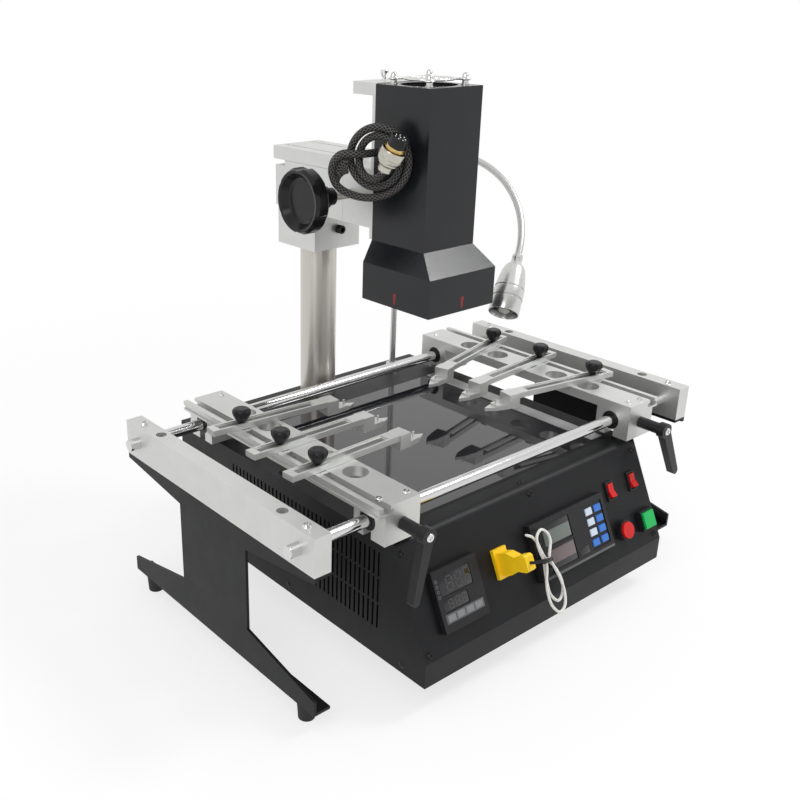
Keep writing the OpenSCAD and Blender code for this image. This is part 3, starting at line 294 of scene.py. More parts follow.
plated = finish_of("bright_plating", lambda t: {
    "Base Color": t.mix(t.noise(300) + 0.5, (0.66, 0.66, 0.65), (0.8, 0.8, 0.79)),
    "Metallic": 1.0,
    "Roughness": 0.17 + t.noise(900, 3) * 0.14,
})
moulded_black = finish_of("moulded_black", lambda t: {
    "Base Color": t.mix(t.noise(120, 3) + 0.5, (0.008, 0.008, 0.009), (0.018, 0.018, 0.02)),
    "Roughness": 0.36 + t.noise(700, 3) * 0.16,
    "Specular IOR Level": 0.25,
    "Normal": t.bump(t.noise(2600, 2), 0.00006),
})
brass = finish_of("brass", lambda t: {
    "Base Color": t.mix(t.noise(500) + 0.5, (0.52, 0.36, 0.12), (0.7, 0.52, 0.22)),
    "Metallic": 1.0,
    "Roughness": 0.26 + t.noise(900) * 0.12,
})
dull_nickel = finish_of("dull_nickel", lambda t: {
    "Base Color": t.mix(t.noise(300) + 0.5, (0.44, 0.42, 0.37), (0.58, 0.56, 0.5)),
    "Metallic": 1.0,
    "Roughness": 0.2 + t.noise(900, 3) * 0.14,
})
plug_place = place(coil_point(-11.5, 13.5, -6.5), (0.1086, -0.454, 0.8843))
bm = bmesh.new()
lathe(bm, [(0, -0.5), (4.4, -0.5), (4.9, 0.4), (6, 1.2), (6, 5.4), (5.5, 5.8), (6.3, 6.2), (8.5, 8),
           (8.5, 9.4), (9.4, 9.8), (10.3, 10.2), (10.5, 10.8), (10.5, 13.2), (10.2, 13.5),
           (10.5, 13.8), (10.5, 19.2), (10.2, 19.9), (9.6, 20), (9.3, 19.5), (9.2, 14), (0, 14)],
      plug_place, 48)
connector_ring = piece("connector_ring", bm, dull_nickel, "head")
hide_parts("cable_connector")
bm = bmesh.new()
lathe(bm, [(0, 13.9), (8.1, 13.9), (8.1, 20.6), (7.7, 21), (7.7, 22.6), (7.2, 23), (0, 23)],
      plug_place, 40)
connector_sleeve = piece("connector_sleeve", bm, brass, "head")
bm = bmesh.new()
lathe(bm, [(0, 22.9), (7.4, 22.9), (7.4, 30.4), (7, 31), (6.5, 31), (6.3, 29.8), (0, 29.8)],
      plug_place, 40)
connector_insert = piece("connector_insert", bm, moulded_black, "head")
bm = bmesh.new()
ring_pins, pin_ring = 7, 0.0043
for k in range(ring_pins + 1):
    a = math.tau * k / ring_pins
    spot = (0, 0, 0) if k == ring_pins else (pin_ring * math.cos(a), pin_ring * math.sin(a), 0)
    lathe(bm, [(0, 29.7), (0.6, 29.7), (0.6, 30.6), (0.4, 31), (0, 31)],
          plug_place @ Matrix.Translation(spot), 10)
connector_pins = piece("connector_pins", bm, plated, "head")

# The sleeve is pulled flat over the coil's first bend, so it is broad there and shows its weave.
# The flat part is a film of almost no thickness, because out is only a millimetre long.
bm = bmesh.new()
uv = bm.loops.layers.uv.verify()
rings, stations, sides, taper = [], 20, 20, 5
turns = [math.radians(-6 + 7 * k) for k in range(stations)]
bend = [coil_point(21 + 16 * math.sin(a), 8 - 1.9 * a, -12 + 16 * math.cos(a)) for a in turns]
middle, out = coil_point(21, 5.5, -12), coil_point(0, 1, 0) - coil_point(0, 0, 0)
for k, p in enumerate(bend):
    wide = min(k, stations - 1 - k, taper) / taper
    reach = (p - middle).normalized()
    shift, half_w, half_t = 0.0052 * wide, 0.0036 + 0.0056 * wide, 0.0036 + 0.0002 * wide
    ring = [p - reach * shift + reach * half_w * math.cos(b) + out * half_t * math.sin(b)
            for b in (math.tau * j / sides for j in range(sides))]
    rings.append([bm.verts.new(q) for q in ring])
for k in range(stations - 1):
    for j in range(sides):
        corners = [(k, j), (k, j + 1), (k + 1, j + 1), (k + 1, j)]
        face = bm.faces.new([rings[a][b % sides] for a, b in corners])
        for loop, (a, b) in zip(face.loops, corners):
            loop[uv].uv = (a * 0.3, b / sides)
bm.faces.new(rings[0])
bm.faces.new(rings[-1])
cable_flat = piece("cable_flat_sleeve", bm, braided("flat_braid", 12, 1.5), "head", 60)
cable_length = sum((b - a).length for a, b in zip(cable_path, cable_path[1:]))


# Thermocouple lead. Two wires in one white glass-fibre braid, from the yellow plug on the panel.
# It is stored as a small hank: two loops below and one above a black tie, with a bare welded tip.
slope_cos, slope_sin, panel_y, panel_z = 0.429934, 0.902861, -165, 46


def panel(x, v, n):
    """A place on the sloped panel in millimetres: x right, v up the slope, n out of it."""
    return at(x, panel_y + v * slope_cos - n * slope_sin, panel_z + v * slope_sin + n * slope_cos)


# The white braid is coloured darker in the hollows between its strands: painted shade.
glass_braid = finish_of("white_glass_braid", lambda t: {
    "Base Color": t.mix(braid(t, 6, 1.6), (0.58, 0.57, 0.54), (0.86, 0.85, 0.82)),
    "Roughness": 0.62 + t.noise(500) * 0.2,
    "Normal": t.bump(braid(t, 6, 1.6), 0.0002),
})
lead_d = 2.4
lead = [(-50, 45, 32), (-49.4, 45, 35.5), (-47, 45, 39), (-43, 44.6, 41), (-38, 43.6, 40.4),
        (-31, 41.6, 35), (-24, 39.4, 27), (-17.5, 37, 18.4), (-12.6, 34.8, 12.4), (-10, 32, 9.7),
        (-11.6, 25, 9.5), (-15.4, 17, 9.4), (-17.2, 7, 9.2), (-16, -3, 9.2), (-9.6, -10.6, 9.2),
        (-1.8, -7.6, 9.2), (1.6, 1, 9.2), (1.4, 12, 9.2), (-1.4, 23, 9.1), (-4.2, 33, 8.9),
        (-1.6, 40, 9.2), (1.2, 46, 9.4), (0, 53, 9.4), (-6, 57.6, 9.4), (-12.6, 54, 9.4),
        (-14, 46.6, 9.2), (-12, 40, 8), (-9.9, 33, 7), (-11, 25, 6.9), (-12.6, 14, 6.9),
        (-12.2, 5, 6.9), (-6, -2.4, 6.9), (0.8, 0.6, 6.8), (4.4, 8, 6.8), (3.6, 17, 6.8),
        (-0.6, 26, 6.8), (-6.8, 34, 6.6), (-9.6, 42, 6.7), (-11.6, 49, 6.8), (-15.6, 54.6, 6.8),
        (-21, 57.6, 7.2)]
lead_path = smooth([panel(*p) for p in lead], 4)
bm = bmesh.new()
tube(bm, lead_path, lead_d / 2000, 10)
thermocouple_lead = piece("thermocouple_lead", bm, glass_braid, "chassis")
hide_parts("tc_lead", "tc_hank")
panel_axes = (1, 0, 0), (0, slope_cos, slope_sin), (0, -slope_sin, slope_cos)
panel_frame = Matrix(panel_axes).transposed().to_4x4()


def on_panel(x, v, n=0):
    """The panel's own frame at a place on it: x right, y up the slope, z out of it."""
    return Matrix.Translation(panel(x, v, n)) @ panel_frame


bm = bmesh.new()
block(bm, (-13.2, 30.6, 5.2), (-2.2, 34.2, 11.3), on_panel(0, 0), 1.7, 3)
block(bm, (-8.5, 31.2, 10.8), (-4.4, 33.6, 13.0), on_panel(0, 0), 0.6)
lead_tie = piece("lead_tie", bm, moulded_black, "chassis")
bm = bmesh.new()
lead_sleeve_d = 2.5
tube(bm, lead_path[:20], lead_sleeve_d / 2000, 12)
lead_sleeve = piece("lead_sleeve", bm, moulded_black, "chassis")
bm = bmesh.new()
lathe(bm, [(0, 0), (1.1, 0), (1.3, 1.2), (0.9, 2.4), (0, 2.8)],
      place(lead_path[-1], lead_path[-1] - lead_path[-2]), 14)
lead_tip = piece("lead_tip", bm, plated, "chassis")
lead_length = sum((b - a).length for a, b in zip(lead_path, lead_path[1:]))


# Housing. A folded black sheet cover with slots in its sides, a base tray and a sloped panel with a
# rolled upper edge, powder coated in fine matt texture and held with black cross-head screws.
def dress(finish, *names):
    """The solids of the frame with those names take a finish."""
    for name in names:
        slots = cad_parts[name].data.materials
        slots.clear()
        slots.append(finish)


powder_coat = finish_of("black_powder_coat", lambda t: {
    "Base Color": t.mix(t.noise(35, 4) + 0.5, (0.0045, 0.0048, 0.0056), (0.0095, 0.0099, 0.0115)),
    "Roughness": 0.42 + t.noise(60, 3) * 0.16,
    "Specular IOR Level": 0.2,
    "Normal": t.bump(t.noise(1700, 3), 0.00012),
})
dress(powder_coat, "chassis_base", "chassis_cover", "control_panel")
soft_rubber = finish_of("black_rubber", lambda t: {
    "Base Color": t.mix(t.noise(90, 4) + 0.5, (0.008, 0.008, 0.008), (0.024, 0.023, 0.022)),
    "Roughness": 0.78 + t.noise(300) * 0.16,
    "Normal": t.bump(t.noise(1300, 3), 0.0002),
})
dress(soft_rubber, "chassis_feet", "stand_feet")


def field(tree, kind, settings, sockets, out=0):
    """A new node of a Geometry Nodes tree and one of its outputs."""
    made = tree.nodes.new(kind)
    for name, value in settings.items():
        setattr(made, name, value)
    for name, value in sockets.items():
        if isinstance(value, bpy.types.NodeSocket):
            tree.links.new(value, made.inputs[name])
        else:
            made.inputs[name].default_value = value
    return made.outputs[out]


def new_tree(name, inputs):
    """An empty tree that takes a mesh of spots, the named sizes and a finish."""
    tree = bpy.data.node_groups.new(name, "GeometryNodeTree")
    tree.interface.new_socket("Spots", in_out="INPUT", socket_type="NodeSocketGeometry")
    for size in inputs:
        tree.interface.new_socket(size, in_out="INPUT", socket_type="NodeSocketFloat")
    tree.interface.new_socket("Finish", in_out="INPUT", socket_type="NodeSocketMaterial")
    tree.interface.new_socket("Pieces", in_out="OUTPUT", socket_type="NodeSocketGeometry")
    return tree, tree.nodes.new("NodeGroupInput").outputs


def set_on_spots(tree, given, pattern):
    """Sets the pattern on every spot, turned by the spot's aim, as real geometry with the finish."""
    aim = field(tree, "GeometryNodeInputNamedAttribute", {"data_type": "FLOAT_VECTOR"},
                {"Name": "aim"})
    turned = field(tree, "FunctionNodeEulerToRotation", {}, {"Euler": aim})
    placed = field(tree, "GeometryNodeInstanceOnPoints", {},
                   {"Points": given["Spots"], "Instance": pattern, "Rotation": turned})
    real = field(tree, "GeometryNodeRealizeInstances", {}, {"Geometry": placed})
    dressed = field(tree, "GeometryNodeSetMaterial", {},
                    {"Geometry": real, "Material": given["Finish"]})
    end = tree.nodes.new("NodeGroupOutput")
    tree.links.new(dressed, end.inputs[0])


screw_tree, given = new_tree("cross_head_screw", ["Diameter", "Height", "Recess"])
times = {"operation": "MULTIPLY"}
crown_share, bit_share, bit_turn = 0.37, 0.24, 0.5
half = field(screw_tree, "ShaderNodeMath", times, {0: given["Diameter"], 1: 0.5})
crown = field(screw_tree, "ShaderNodeMath", times, {0: given["Diameter"], 1: crown_share})
head = field(screw_tree, "GeometryNodeMeshCone", {}, {
    "Vertices": 20, "Radius Top": crown, "Radius Bottom": half, "Depth": given["Height"]})
bit_w = field(screw_tree, "ShaderNodeMath", times, {0: given["Recess"], 1: bit_share})
size = field(screw_tree, "ShaderNodeCombineXYZ", {},
             {"X": given["Recess"], "Y": bit_w, "Z": given["Height"]})
bit = field(screw_tree, "GeometryNodeMeshCube", {}, {"Size": size})
lift = field(screw_tree, "ShaderNodeCombineXYZ", {}, {"Z": given["Height"]})
# The second bar of the cross is a little taller, so that the two share no face.
bits = [field(screw_tree, "GeometryNodeTransform", {}, {
    "Geometry": bit, "Translation": lift, "Rotation": (0, 0, a), "Scale": (1, 1, tall)})
    for a, tall in ((bit_turn, 1), (bit_turn + math.pi / 2, 1.05))]
cut = screw_tree.nodes.new("GeometryNodeMeshBoolean")
cut.operation = "DIFFERENCE"
screw_tree.links.new(head, cut.inputs["Mesh 1"])
for b in bits:
    screw_tree.links.new(b, cut.inputs["Mesh 2"])
set_on_spots(screw_tree, given, cut.outputs["Mesh"])


def repeat(name, tree, spots, sizes, finish, body, sharp=32):
    """The tree's pattern on every spot (place, direction), as one plain piece on a body."""
    mesh = bpy.data.meshes.new(name)
    mesh.from_pydata([p for p, _ in spots], [], [])
    aims = [tuple(Vector(d).to_track_quat("Z", "Y").to_euler()) if not isinstance(d, Matrix)
            else tuple(d.to_euler()) for _, d in spots]
    aim = mesh.attributes.new("aim", "FLOAT_VECTOR", "POINT")
    aim.data.foreach_set("vector", [c for a in aims for c in a])
    spots_object = bpy.data.objects.new(name + ".spots", mesh)
    scene.collection.objects.link(spots_object)
    modifier = spots_object.modifiers.new("set", "NODES")
    modifier.node_group = tree
    names = {s.name: s.identifier for s in tree.interface.items_tree if s.in_out == "INPUT"}
    for key, value in {**sizes, "Finish": finish}.items():
        modifier[names[key]] = value / 1000 if key != "Finish" else value
    seen = bpy.context.evaluated_depsgraph_get()
    made_mesh = bpy.data.meshes.new_from_object(spots_object.evaluated_get(seen))
    bpy.data.objects.remove(spots_object)
    made_mesh.name = name
    made_mesh.polygons.foreach_set("use_smooth", [True] * len(made_mesh.polygons))
    made_mesh.set_sharp_from_angle(angle=math.radians(sharp))
    made = bpy.data.objects.new(name, made_mesh)
    scene.collection.objects.link(made)
    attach(made, body)


oxide_black = finish_of("black_oxide", lambda t: {
    "Base Color": t.mix(t.noise(600) + 0.5, (0.012, 0.012, 0.013), (0.03, 0.03, 0.031)),
    "Metallic": 0.6,
    "Roughness": 0.36 + t.noise(800) * 0.14,
})
cover_top, half_housing, base_screw_z = 130, 149, 32
out_of_panel = panel(0, 0, 1) - panel(0, 0, 0)
spots = [(panel(x, v, 0), out_of_panel)
         for x, v in ((2, 86), (-143, 5.6), (143, 5.6), (-143, 84), (143, 84))]
spots += [(at(x, y, cover_top), (0, 0, 1)) for x, y in (
    (1, -118), (-140, -110), (140, -110), (-140, 150), (140, 150), (-140, 20), (140, 20))]
pan_head = {"Diameter": 5.4, "Height": 1.5, "Recess": 3.2}
repeat("housing_screws", screw_tree, spots, pan_head, oxide_black, "chassis")
spots = [(at(s * half_housing, y, base_screw_z), (s, 0, 0)) for s in (-1, 1) for y in (-140, 0, 140)]
flat_head = {"Diameter": 5.4, "Height": 0.4, "Recess": 3}
repeat("base_screws", screw_tree, spots, flat_head, oxide_black, "chassis")


# Hot field. A plate of dark glass-ceramic let into the cover over nine flat ceramic heaters.
# The glass is polished and mirrors the arms, with faint wipe marks. A satin strip lies at each side.
hot_glass = finish_of("dark_glass", lambda t: {
    "Base Color": t.mix(t.noise(20) + 0.5, (0.006, 0.006, 0.008), (0.011, 0.011, 0.014)),
    "Roughness": 0.035 + t.math("ABSOLUTE", t.noise(14, 3, (1, 3, 1))) * 0.08,
    "IOR": 1.75,
})
dress(hot_glass, "glass_plate")
bm = bmesh.new()
strip_x, half_w, half_l, strip_t = 123.5, 7.5, 104, 1
for s in (-1, 1):
    block(bm, (s * strip_x - half_w, -half_l, 0), (s * strip_x + half_w, half_l, strip_t),
          Matrix.Translation(at(0, 0, cover_top)), 0.3, 1)
satin_strip = finish_of("satin_strip", lambda t: {
    "Base Color": t.mix(t.noise(300, 3, (1, 0.05, 1)) + 0.5, (0.5, 0.5, 0.5), (0.64, 0.64, 0.64)),
    "Metallic": 0.8,
    "Roughness": 0.36 + t.noise(500, 2, (1, 0.05, 1)) * 0.14,
})
piece("field_strips", bm, satin_strip, "chassis")
ceramic = finish_of("ceramic", lambda t: {
    "Base Color": t.mix(t.noise(160, 4) + 0.5, (0.16, 0.15, 0.14), (0.3, 0.29, 0.27)),
    "Roughness": 0.62 + t.noise(400, 3) * 0.2,
    "Normal": t.bump(t.noise(700, 3), 0.0002),
})
dress(ceramic, "bottom_heaters", "top_heater")


# Controllers. Two snap-in instruments with black moulded cases. The square one has two smoked windows
# with a row of digits each, the wide one two liquid-crystal panes and two columns of membrane keys.
dress(moulded_black, "left_controller", "right_controller", "switch_bezels", "rear_sockets")
block_tree, given = new_tree("chamfered_block", ["Length", "Width", "Height", "Chamfer"])
size = field(block_tree, "ShaderNodeCombineXYZ", {},
             {"X": given["Length"], "Y": given["Width"], "Z": given["Height"]})
bar = field(block_tree, "GeometryNodeMeshCube", {}, {"Size": size})
normal = field(block_tree, "GeometryNodeInputNormal", {}, {})
high = field(block_tree, "ShaderNodeSeparateXYZ", {}, {"Vector": normal}, "Z")
upper = field(block_tree, "FunctionNodeCompare",
              {"operation": "GREATER_THAN", "data_type": "FLOAT"}, {0: high, 1: 0.5})
shrink = field(block_tree, "ShaderNodeMath", {"operation": "DIVIDE"},
               {0: given["Chamfer"], 1: given["Width"]})
shrink = field(block_tree, "ShaderNodeMath", {"operation": "SUBTRACT"}, {0: 1.0, 1: shrink})
bar = field(block_tree, "GeometryNodeScaleElements", {},
            {"Geometry": bar, "Selection": upper, "Scale": shrink})
set_on_spots(block_tree, given, bar)

smoked = finish_of("smoked_window", lambda t: {
    "Base Color": t.mix(t.noise(60) + 0.5, (0.008, 0.008, 0.01), (0.016, 0.016, 0.019)),
    "Roughness": 0.12 + t.noise(90) * 0.08,
})
crystal_green = finish_of("crystal_green", lambda t: {
    "Base Color": t.mix(t.noise(40) + 0.5, (0.1, 0.118, 0.104), (0.135, 0.155, 0.138)),
    "Roughness": 0.2 + t.noise(90) * 0.1,
})
crystal_rose = finish_of("crystal_rose", lambda t: {
    "Base Color": t.mix(t.noise(40) + 0.5, (0.11, 0.082, 0.082), (0.145, 0.11, 0.11)),
    "Roughness": 0.2 + t.noise(90) * 0.1,
})
grey_film = finish_of("grey_key_film", lambda t: {
    "Base Color": t.mix(t.noise(80, 3) + 0.5, (0.07, 0.072, 0.075), (0.1, 0.102, 0.106)),
    "Roughness": 0.45 + t.noise(500) * 0.14,
})
silver_key = finish_of("silver_key", lambda t: {
    "Base Color": t.mix(t.noise(90, 3) + 0.5, (0.16, 0.163, 0.168), (0.21, 0.214, 0.22)),
    "Roughness": 0.4 + t.noise(500) * 0.14,
})
white_key = finish_of("white_key", lambda t: {
    "Base Color": t.mix(t.noise(90, 3) + 0.5, (0.5, 0.58, 0.7), (0.62, 0.7, 0.8)),
    "Roughness": 0.42 + t.noise(500) * 0.14,
})
blue_key = finish_of("blue_key", lambda t: {
    "Base Color": t.mix(t.noise(90, 3) + 0.5, (0.02, 0.13, 0.5), (0.04, 0.19, 0.62)),
    "Roughness": 0.42 + t.noise(500) * 0.14,
})
unlit = finish_of("unlit_segment", lambda t: {
    "Base Color": t.mix(t.noise(200) + 0.5, (0.045, 0.042, 0.045), (0.075, 0.07, 0.072)),
    "Roughness": 0.3 + t.noise(400) * 0.1,
})
square, wide = on_panel(-102, 39), on_panel(34, 39)


def pane(name, where, low, high, finish, edge=0.35):
    """A flat window, film or lip on a controller, between two corners in millimetres."""
    bm = bmesh.new()
    block(bm, low, high, where, edge)
    piece(name, bm, finish, "chassis")


pane("square_upper_window", square, (-18.8, 3.2, 3.6), (14.8, 18.8, 4.7), smoked)
pane("square_lower_window", square, (-18.8, -8.8, 3.6), (6.8, 0.8, 4.7), smoked)
pane("wide_upper_mask", wide, (-35.8, 1.2, 3.6), (-0.2, 18.8, 4.6), smoked)
pane("wide_lower_mask", wide, (-35.8, -18.8, 3.6), (-0.2, -1.2, 4.6), smoked)
pane("wide_upper_pane", wide, (-34.6, 2.2, 4.3), (-1.4, 13.8, 4.9), crystal_green)
pane("wide_lower_pane", wide, (-34.6, -13.8, 4.3), (-1.4, -2.6, 4.9), crystal_rose)


def digits(where, x0, y0, w, h, n, count, step):
    """Spots for the bars of a row of seven-bar digits: flat bars and upright bars."""
    flat, upright = [], []
    for i in range(count):
        cx = x0 + i * step
        flat += [where @ (Vector((cx, y0 + s * h / 2, n)) / 1000) for s in (-1, 0, 1)]
        upright += [where @ (Vector((cx + a * w / 2, y0 + b * h / 4, n)) / 1000)
                    for a in (-1, 1) for b in (-1, 1)]
    return flat, upright


turned = panel_frame @ Matrix.Rotation(math.pi / 2, 4, "Z")
window_face, digit_count = 4.72, 3
bar_size = {"Width": 0.8, "Height": 0.14, "Chamfer": 0.2}
for name, x0, y0, w, h, step in (("upper_digits", -8, 11, 6, 11, 9.6),
                                 ("lower_digits", -11.5, -4, 4.4, 6.6, 7)):
    flat, upright = digits(square, x0, y0, w, h, window_face, digit_count, step)
    repeat(name + ".flat", block_tree, [(p, panel_frame) for p in flat],
           {"Length": w * 0.8, **bar_size}, unlit, "chassis")
    repeat(name + ".upright", block_tree, [(p, turned) for p in upright],
           {"Length": h * 0.4, **bar_size}, unlit, "chassis")
pane("square_key_strip", square, (-20.5, -17.6, 4.6), (20.5, -10.2, 5.15), grey_film)
spots = [(square @ (Vector((x, -13.9, 5.2)) / 1000), panel_frame)
         for x in (-14.6, -4.9, 4.9, 14.6)]
key_size = {"Length": 8.4, "Width": 5.2, "Height": 0.5, "Chamfer": 0.7}
repeat("square_keys", block_tree, spots, key_size, silver_key, "chassis")
bm = bmesh.new()
for v in (16, 12, 8, 4):
    lathe(bm, [(0.7, 4.9), (0.8, 5.25), (1.3, 5.25), (1.5, 4.9), (0.7, 4.9)],
          square @ Matrix.Translation((-0.0213, v / 1000, 0)), 18)
piece("signal_rings", bm, grey_film, "chassis")
key_size = {"Length": 9.2, "Width": 6.4, "Height": 1.2, "Chamfer": 0.9}
for name, finish, cells in (
        ("white_keys", white_key, ((26, 13), (26, 4), (26, -5))),
        ("blue_keys", blue_key, ((26, -14), (38, 13), (38, 4), (38, -5), (38, -14)))):
    spots = [(wide @ (Vector((x, v, 4.5)) / 1000), panel_frame) for x, v in cells]
    repeat(name, block_tree, spots, key_size, finish, "chassis")
pane("wide_side_window", wide, (3, -18.6, 4.7), (15, -12.4, 5.12), smoked)
pane("wide_lower_lip", wide, (-47.4, -23.9, 4.8), (47.4, -21.7, 5.3), grey_film)


# Panel fittings. A yellow flat-pin thermocouple socket with its plug, two red rockers in black frames,
# a red round stop key and a green square start key, all glossy mouldings clipped into the panel.
yellow = finish_of("yellow_moulding", lambda t: {
    "Base Color": t.mix(t.noise(90, 3) + 0.5, (0.86, 0.52, 0.006), (0.94, 0.62, 0.01)),
    "Roughness": 0.38 + t.noise(500) * 0.16,
    "Normal": t.bump(t.noise(1800, 2), 0.00005),
})
dress(yellow, "tc_plug", "tc_socket")
red = finish_of("red_moulding", lambda t: {
    "Base Color": t.mix(t.noise(90, 3) + 0.5, (0.5, 0.005, 0.006), (0.64, 0.011, 0.01)),
    "Roughness": 0.26 + t.noise(300) * 0.12,
    "Specular IOR Level": 0.28,
})
dress(red, "light_rocker", "fan_rocker", "stop_button")
green = finish_of("green_moulding", lambda t: {
    "Base Color": t.mix(t.noise(90, 3) + 0.5, (0.004, 0.36, 0.075), (0.012, 0.48, 0.11)),
    "Roughness": 0.26 + t.noise(300) * 0.12,
    "Specular IOR Level": 0.28,
})
dress(green, "start_button")


# Column. A ground stainless tube bolted to the cover's rear edge, with the fine upright lines of its
# polish. The handwheel's shaft is ground from the same steel.
ground_steel = finish_of("ground_steel", lambda t: {
    "Base Color": t.mix(t.noise(700, 2, (1, 1, 0.004)) + 0.5, (0.5, 0.475, 0.44), (0.66, 0.63, 0.585)),
    "Metallic": 1.0,
    "Roughness": 0.34 + t.noise(900, 3, (1, 1, 0.004)) * 0.08,
    "Anisotropic": 0.85,
    "Anisotropic Rotation": 0.25,
})
dress(ground_steel, "column", "pinion_shaft")


# Lamp. A spiral-wound metal gooseneck screwed to the cover carries a turned, polished lamp body
# with a dark lens and a small clear bull's-eye in its mouth.
lamp_x, lamp_y, neck_top, bend_r, hook_r = 103, 144, 311, 50, 102
foot = Matrix.Translation((lamp_x, lamp_y, 0)) @ Matrix.Rotation(math.radians(19.5), 4, "Z")
hook = (foot @ Matrix.Translation((0, -bend_r, neck_top + bend_r))
        @ Matrix.Rotation(math.radians(39.7), 4, "Y") @ Matrix.Translation((0, 0, -hook_r)))
neck = [foot @ Vector((0, 0, 122 + 5.1 * i)) for i in range(37)]
for a in (math.pi / 2 * i / 18 for i in range(19)):
    y, z = -bend_r + bend_r * math.cos(a), neck_top + bend_r * math.sin(a)
    neck.append(foot @ Vector((0, y, z)))
for a in (math.radians(87.3) * i / 30 for i in range(1, 31)):
    neck.append(hook @ Vector((0, -hook_r * math.sin(a), hook_r * math.cos(a))))
neck = smooth([at(*p) for p in neck], 8)
neck_r, groove, winding, run, radii = 0.00325, 0.00028, 2.2, 0, []
for a, b in zip([neck[0], *neck], neck):
    run += (b - a).length * 1000
    radii.append(neck_r - groove * (0.5 + 0.5 * math.cos(math.tau * run / winding)))
bm = bmesh.new()
tube(bm, neck, radii, 14)
lathe(bm, [(0, 0), (7.5, 0), (7.5, 1.2), (7.1, 1.6), (7.1, 5.8), (6.4, 7), (3.2, 7)],
      place(at(lamp_x, lamp_y, cover_top), (0, 0, 1)), 6)
spiral_metal = finish_of("spiral_metal", lambda t: {
    "Base Color": t.mix(t.noise(500) + 0.5, (0.5, 0.5, 0.49), (0.62, 0.62, 0.61)),
    "Metallic": 1.0,
    "Roughness": 0.3 + t.noise(900) * 0.14,
})
gooseneck = piece("gooseneck", bm, spiral_metal, "chassis", 60)
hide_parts("work_lamp")
lamp_place = place(neck[-1], neck[-1] - neck[-3])
bm = bmesh.new()
lathe(bm, [(0, -1), (3.6, -1), (4.6, -0.4), (4.75, 1), (4.75, 3), (4.3, 3.4), (4.75, 3.8),
           (4.75, 6.6), (5.6, 8.2), (7.6, 9.8), (9.2, 12.4), (10.4, 16), (11.4, 20.4), (12.3, 25.6),
           (12.9, 30), (13.2, 32), (12.7, 32.4), (12.7, 33.2), (13.3, 33.6), (13.5, 34.6),
           (13.5, 41.6), (12.9, 42), (12.9, 43), (13.5, 43.4), (13.5, 54.8), (13.1, 56), (12.2, 56),
           (11.9, 54.8), (11.4, 50), (0, 50)], lamp_place, 56)
satin_chrome = finish_of("satin_chrome", lambda t: {
    "Base Color": t.mix(t.noise(400, 3) + 0.5, (0.56, 0.56, 0.55), (0.68, 0.68, 0.67)),
    "Metallic": 1.0,
    "Roughness": 0.25 + t.noise(700, 3) * 0.12,
})
piece("lamp_body", bm, satin_chrome, "chassis", 26)
bm = bmesh.new()
lathe(bm, [(0, 50.6), (11.2, 50.6), (11.4, 53), (9, 53.6), (6, 53), (5.4, 53), (0, 53)], lamp_place, 40)
piece("lamp_lens", bm, smoked, "chassis")
# The clear dome is coloured pale grey: a painted reflection.
clear_dome = finish_of("clear_dome", lambda t: {
    "Base Color": t.mix(t.noise(300) + 0.5, (0.42, 0.42, 0.38), (0.6, 0.6, 0.56)),
    "Roughness": 0.06 + t.noise(300) * 0.04,
    "Coat Weight": 0.6 + t.noise(200) * 0.2,
})
bm = bmesh.new()
lathe(bm, [(0, 52.9), (5, 52.9), (4.8, 53.8), (3.6, 54.8), (1.8, 55.4), (0, 55.6)], lamp_place, 28)
piece("lamp_dome", bm, clear_dome, "chassis")


# Arm. The clamp block and rail turn on the column and the arm plate slides in the rail's T groove:
# bead-blasted, clear anodised aluminium with crisp edges. A black socket bolt in the clamp block
# takes up the play.
satin_aluminium = finish_of("satin_aluminium", lambda t: {
    "Base Color": t.mix(t.noise(50, 4) + 0.5, (0.59, 0.595, 0.58), (0.68, 0.685, 0.668)),
    "Metallic": 0.82,
    "Roughness": 0.42 + t.noise(1100, 3) * 0.16,
    "Normal": t.bump(t.noise(2200, 3), 0.00007),
})
dress(satin_aluminium, "column_clamp", "arm_slide", "lift_plate")
bm = bmesh.new()
lathe(bm, [(0, 0), (4, 0), (4, 5.4), (3.5, 6), (2.2, 6), (2.1, 2.5), (0, 2.5)],
      place(at(1.4, 116.5, 300), (0, -1, 0)), 24)
piece("clamp_bolt", bm, oxide_black, "swing_arm")
spots = [(at(x, y, 372.2), (0, 0, 1)) for x in (-20, 20) for y in (92, 164)]
low_head = {"Diameter": 5.6, "Height": 0.6, "Recess": 3}
repeat("arm_screws", screw_tree, spots, low_head, plated, "reach_arm")


# Handwheel. A glossy black moulded wheel with a dished face and a lobed rim, pressed on a steel
# shaft. Its pinion lifts the head by the rack.
glossy_black = finish_of("glossy_black", lambda t: {
    "Base Color": t.mix(t.noise(90, 3) + 0.5, (0.006, 0.006, 0.007), (0.013, 0.013, 0.014)),
    "Roughness": 0.2 + t.noise(200, 3) * 0.12,
    "Specular IOR Level": 0.28,
})
dress(glossy_black, "handwheel")


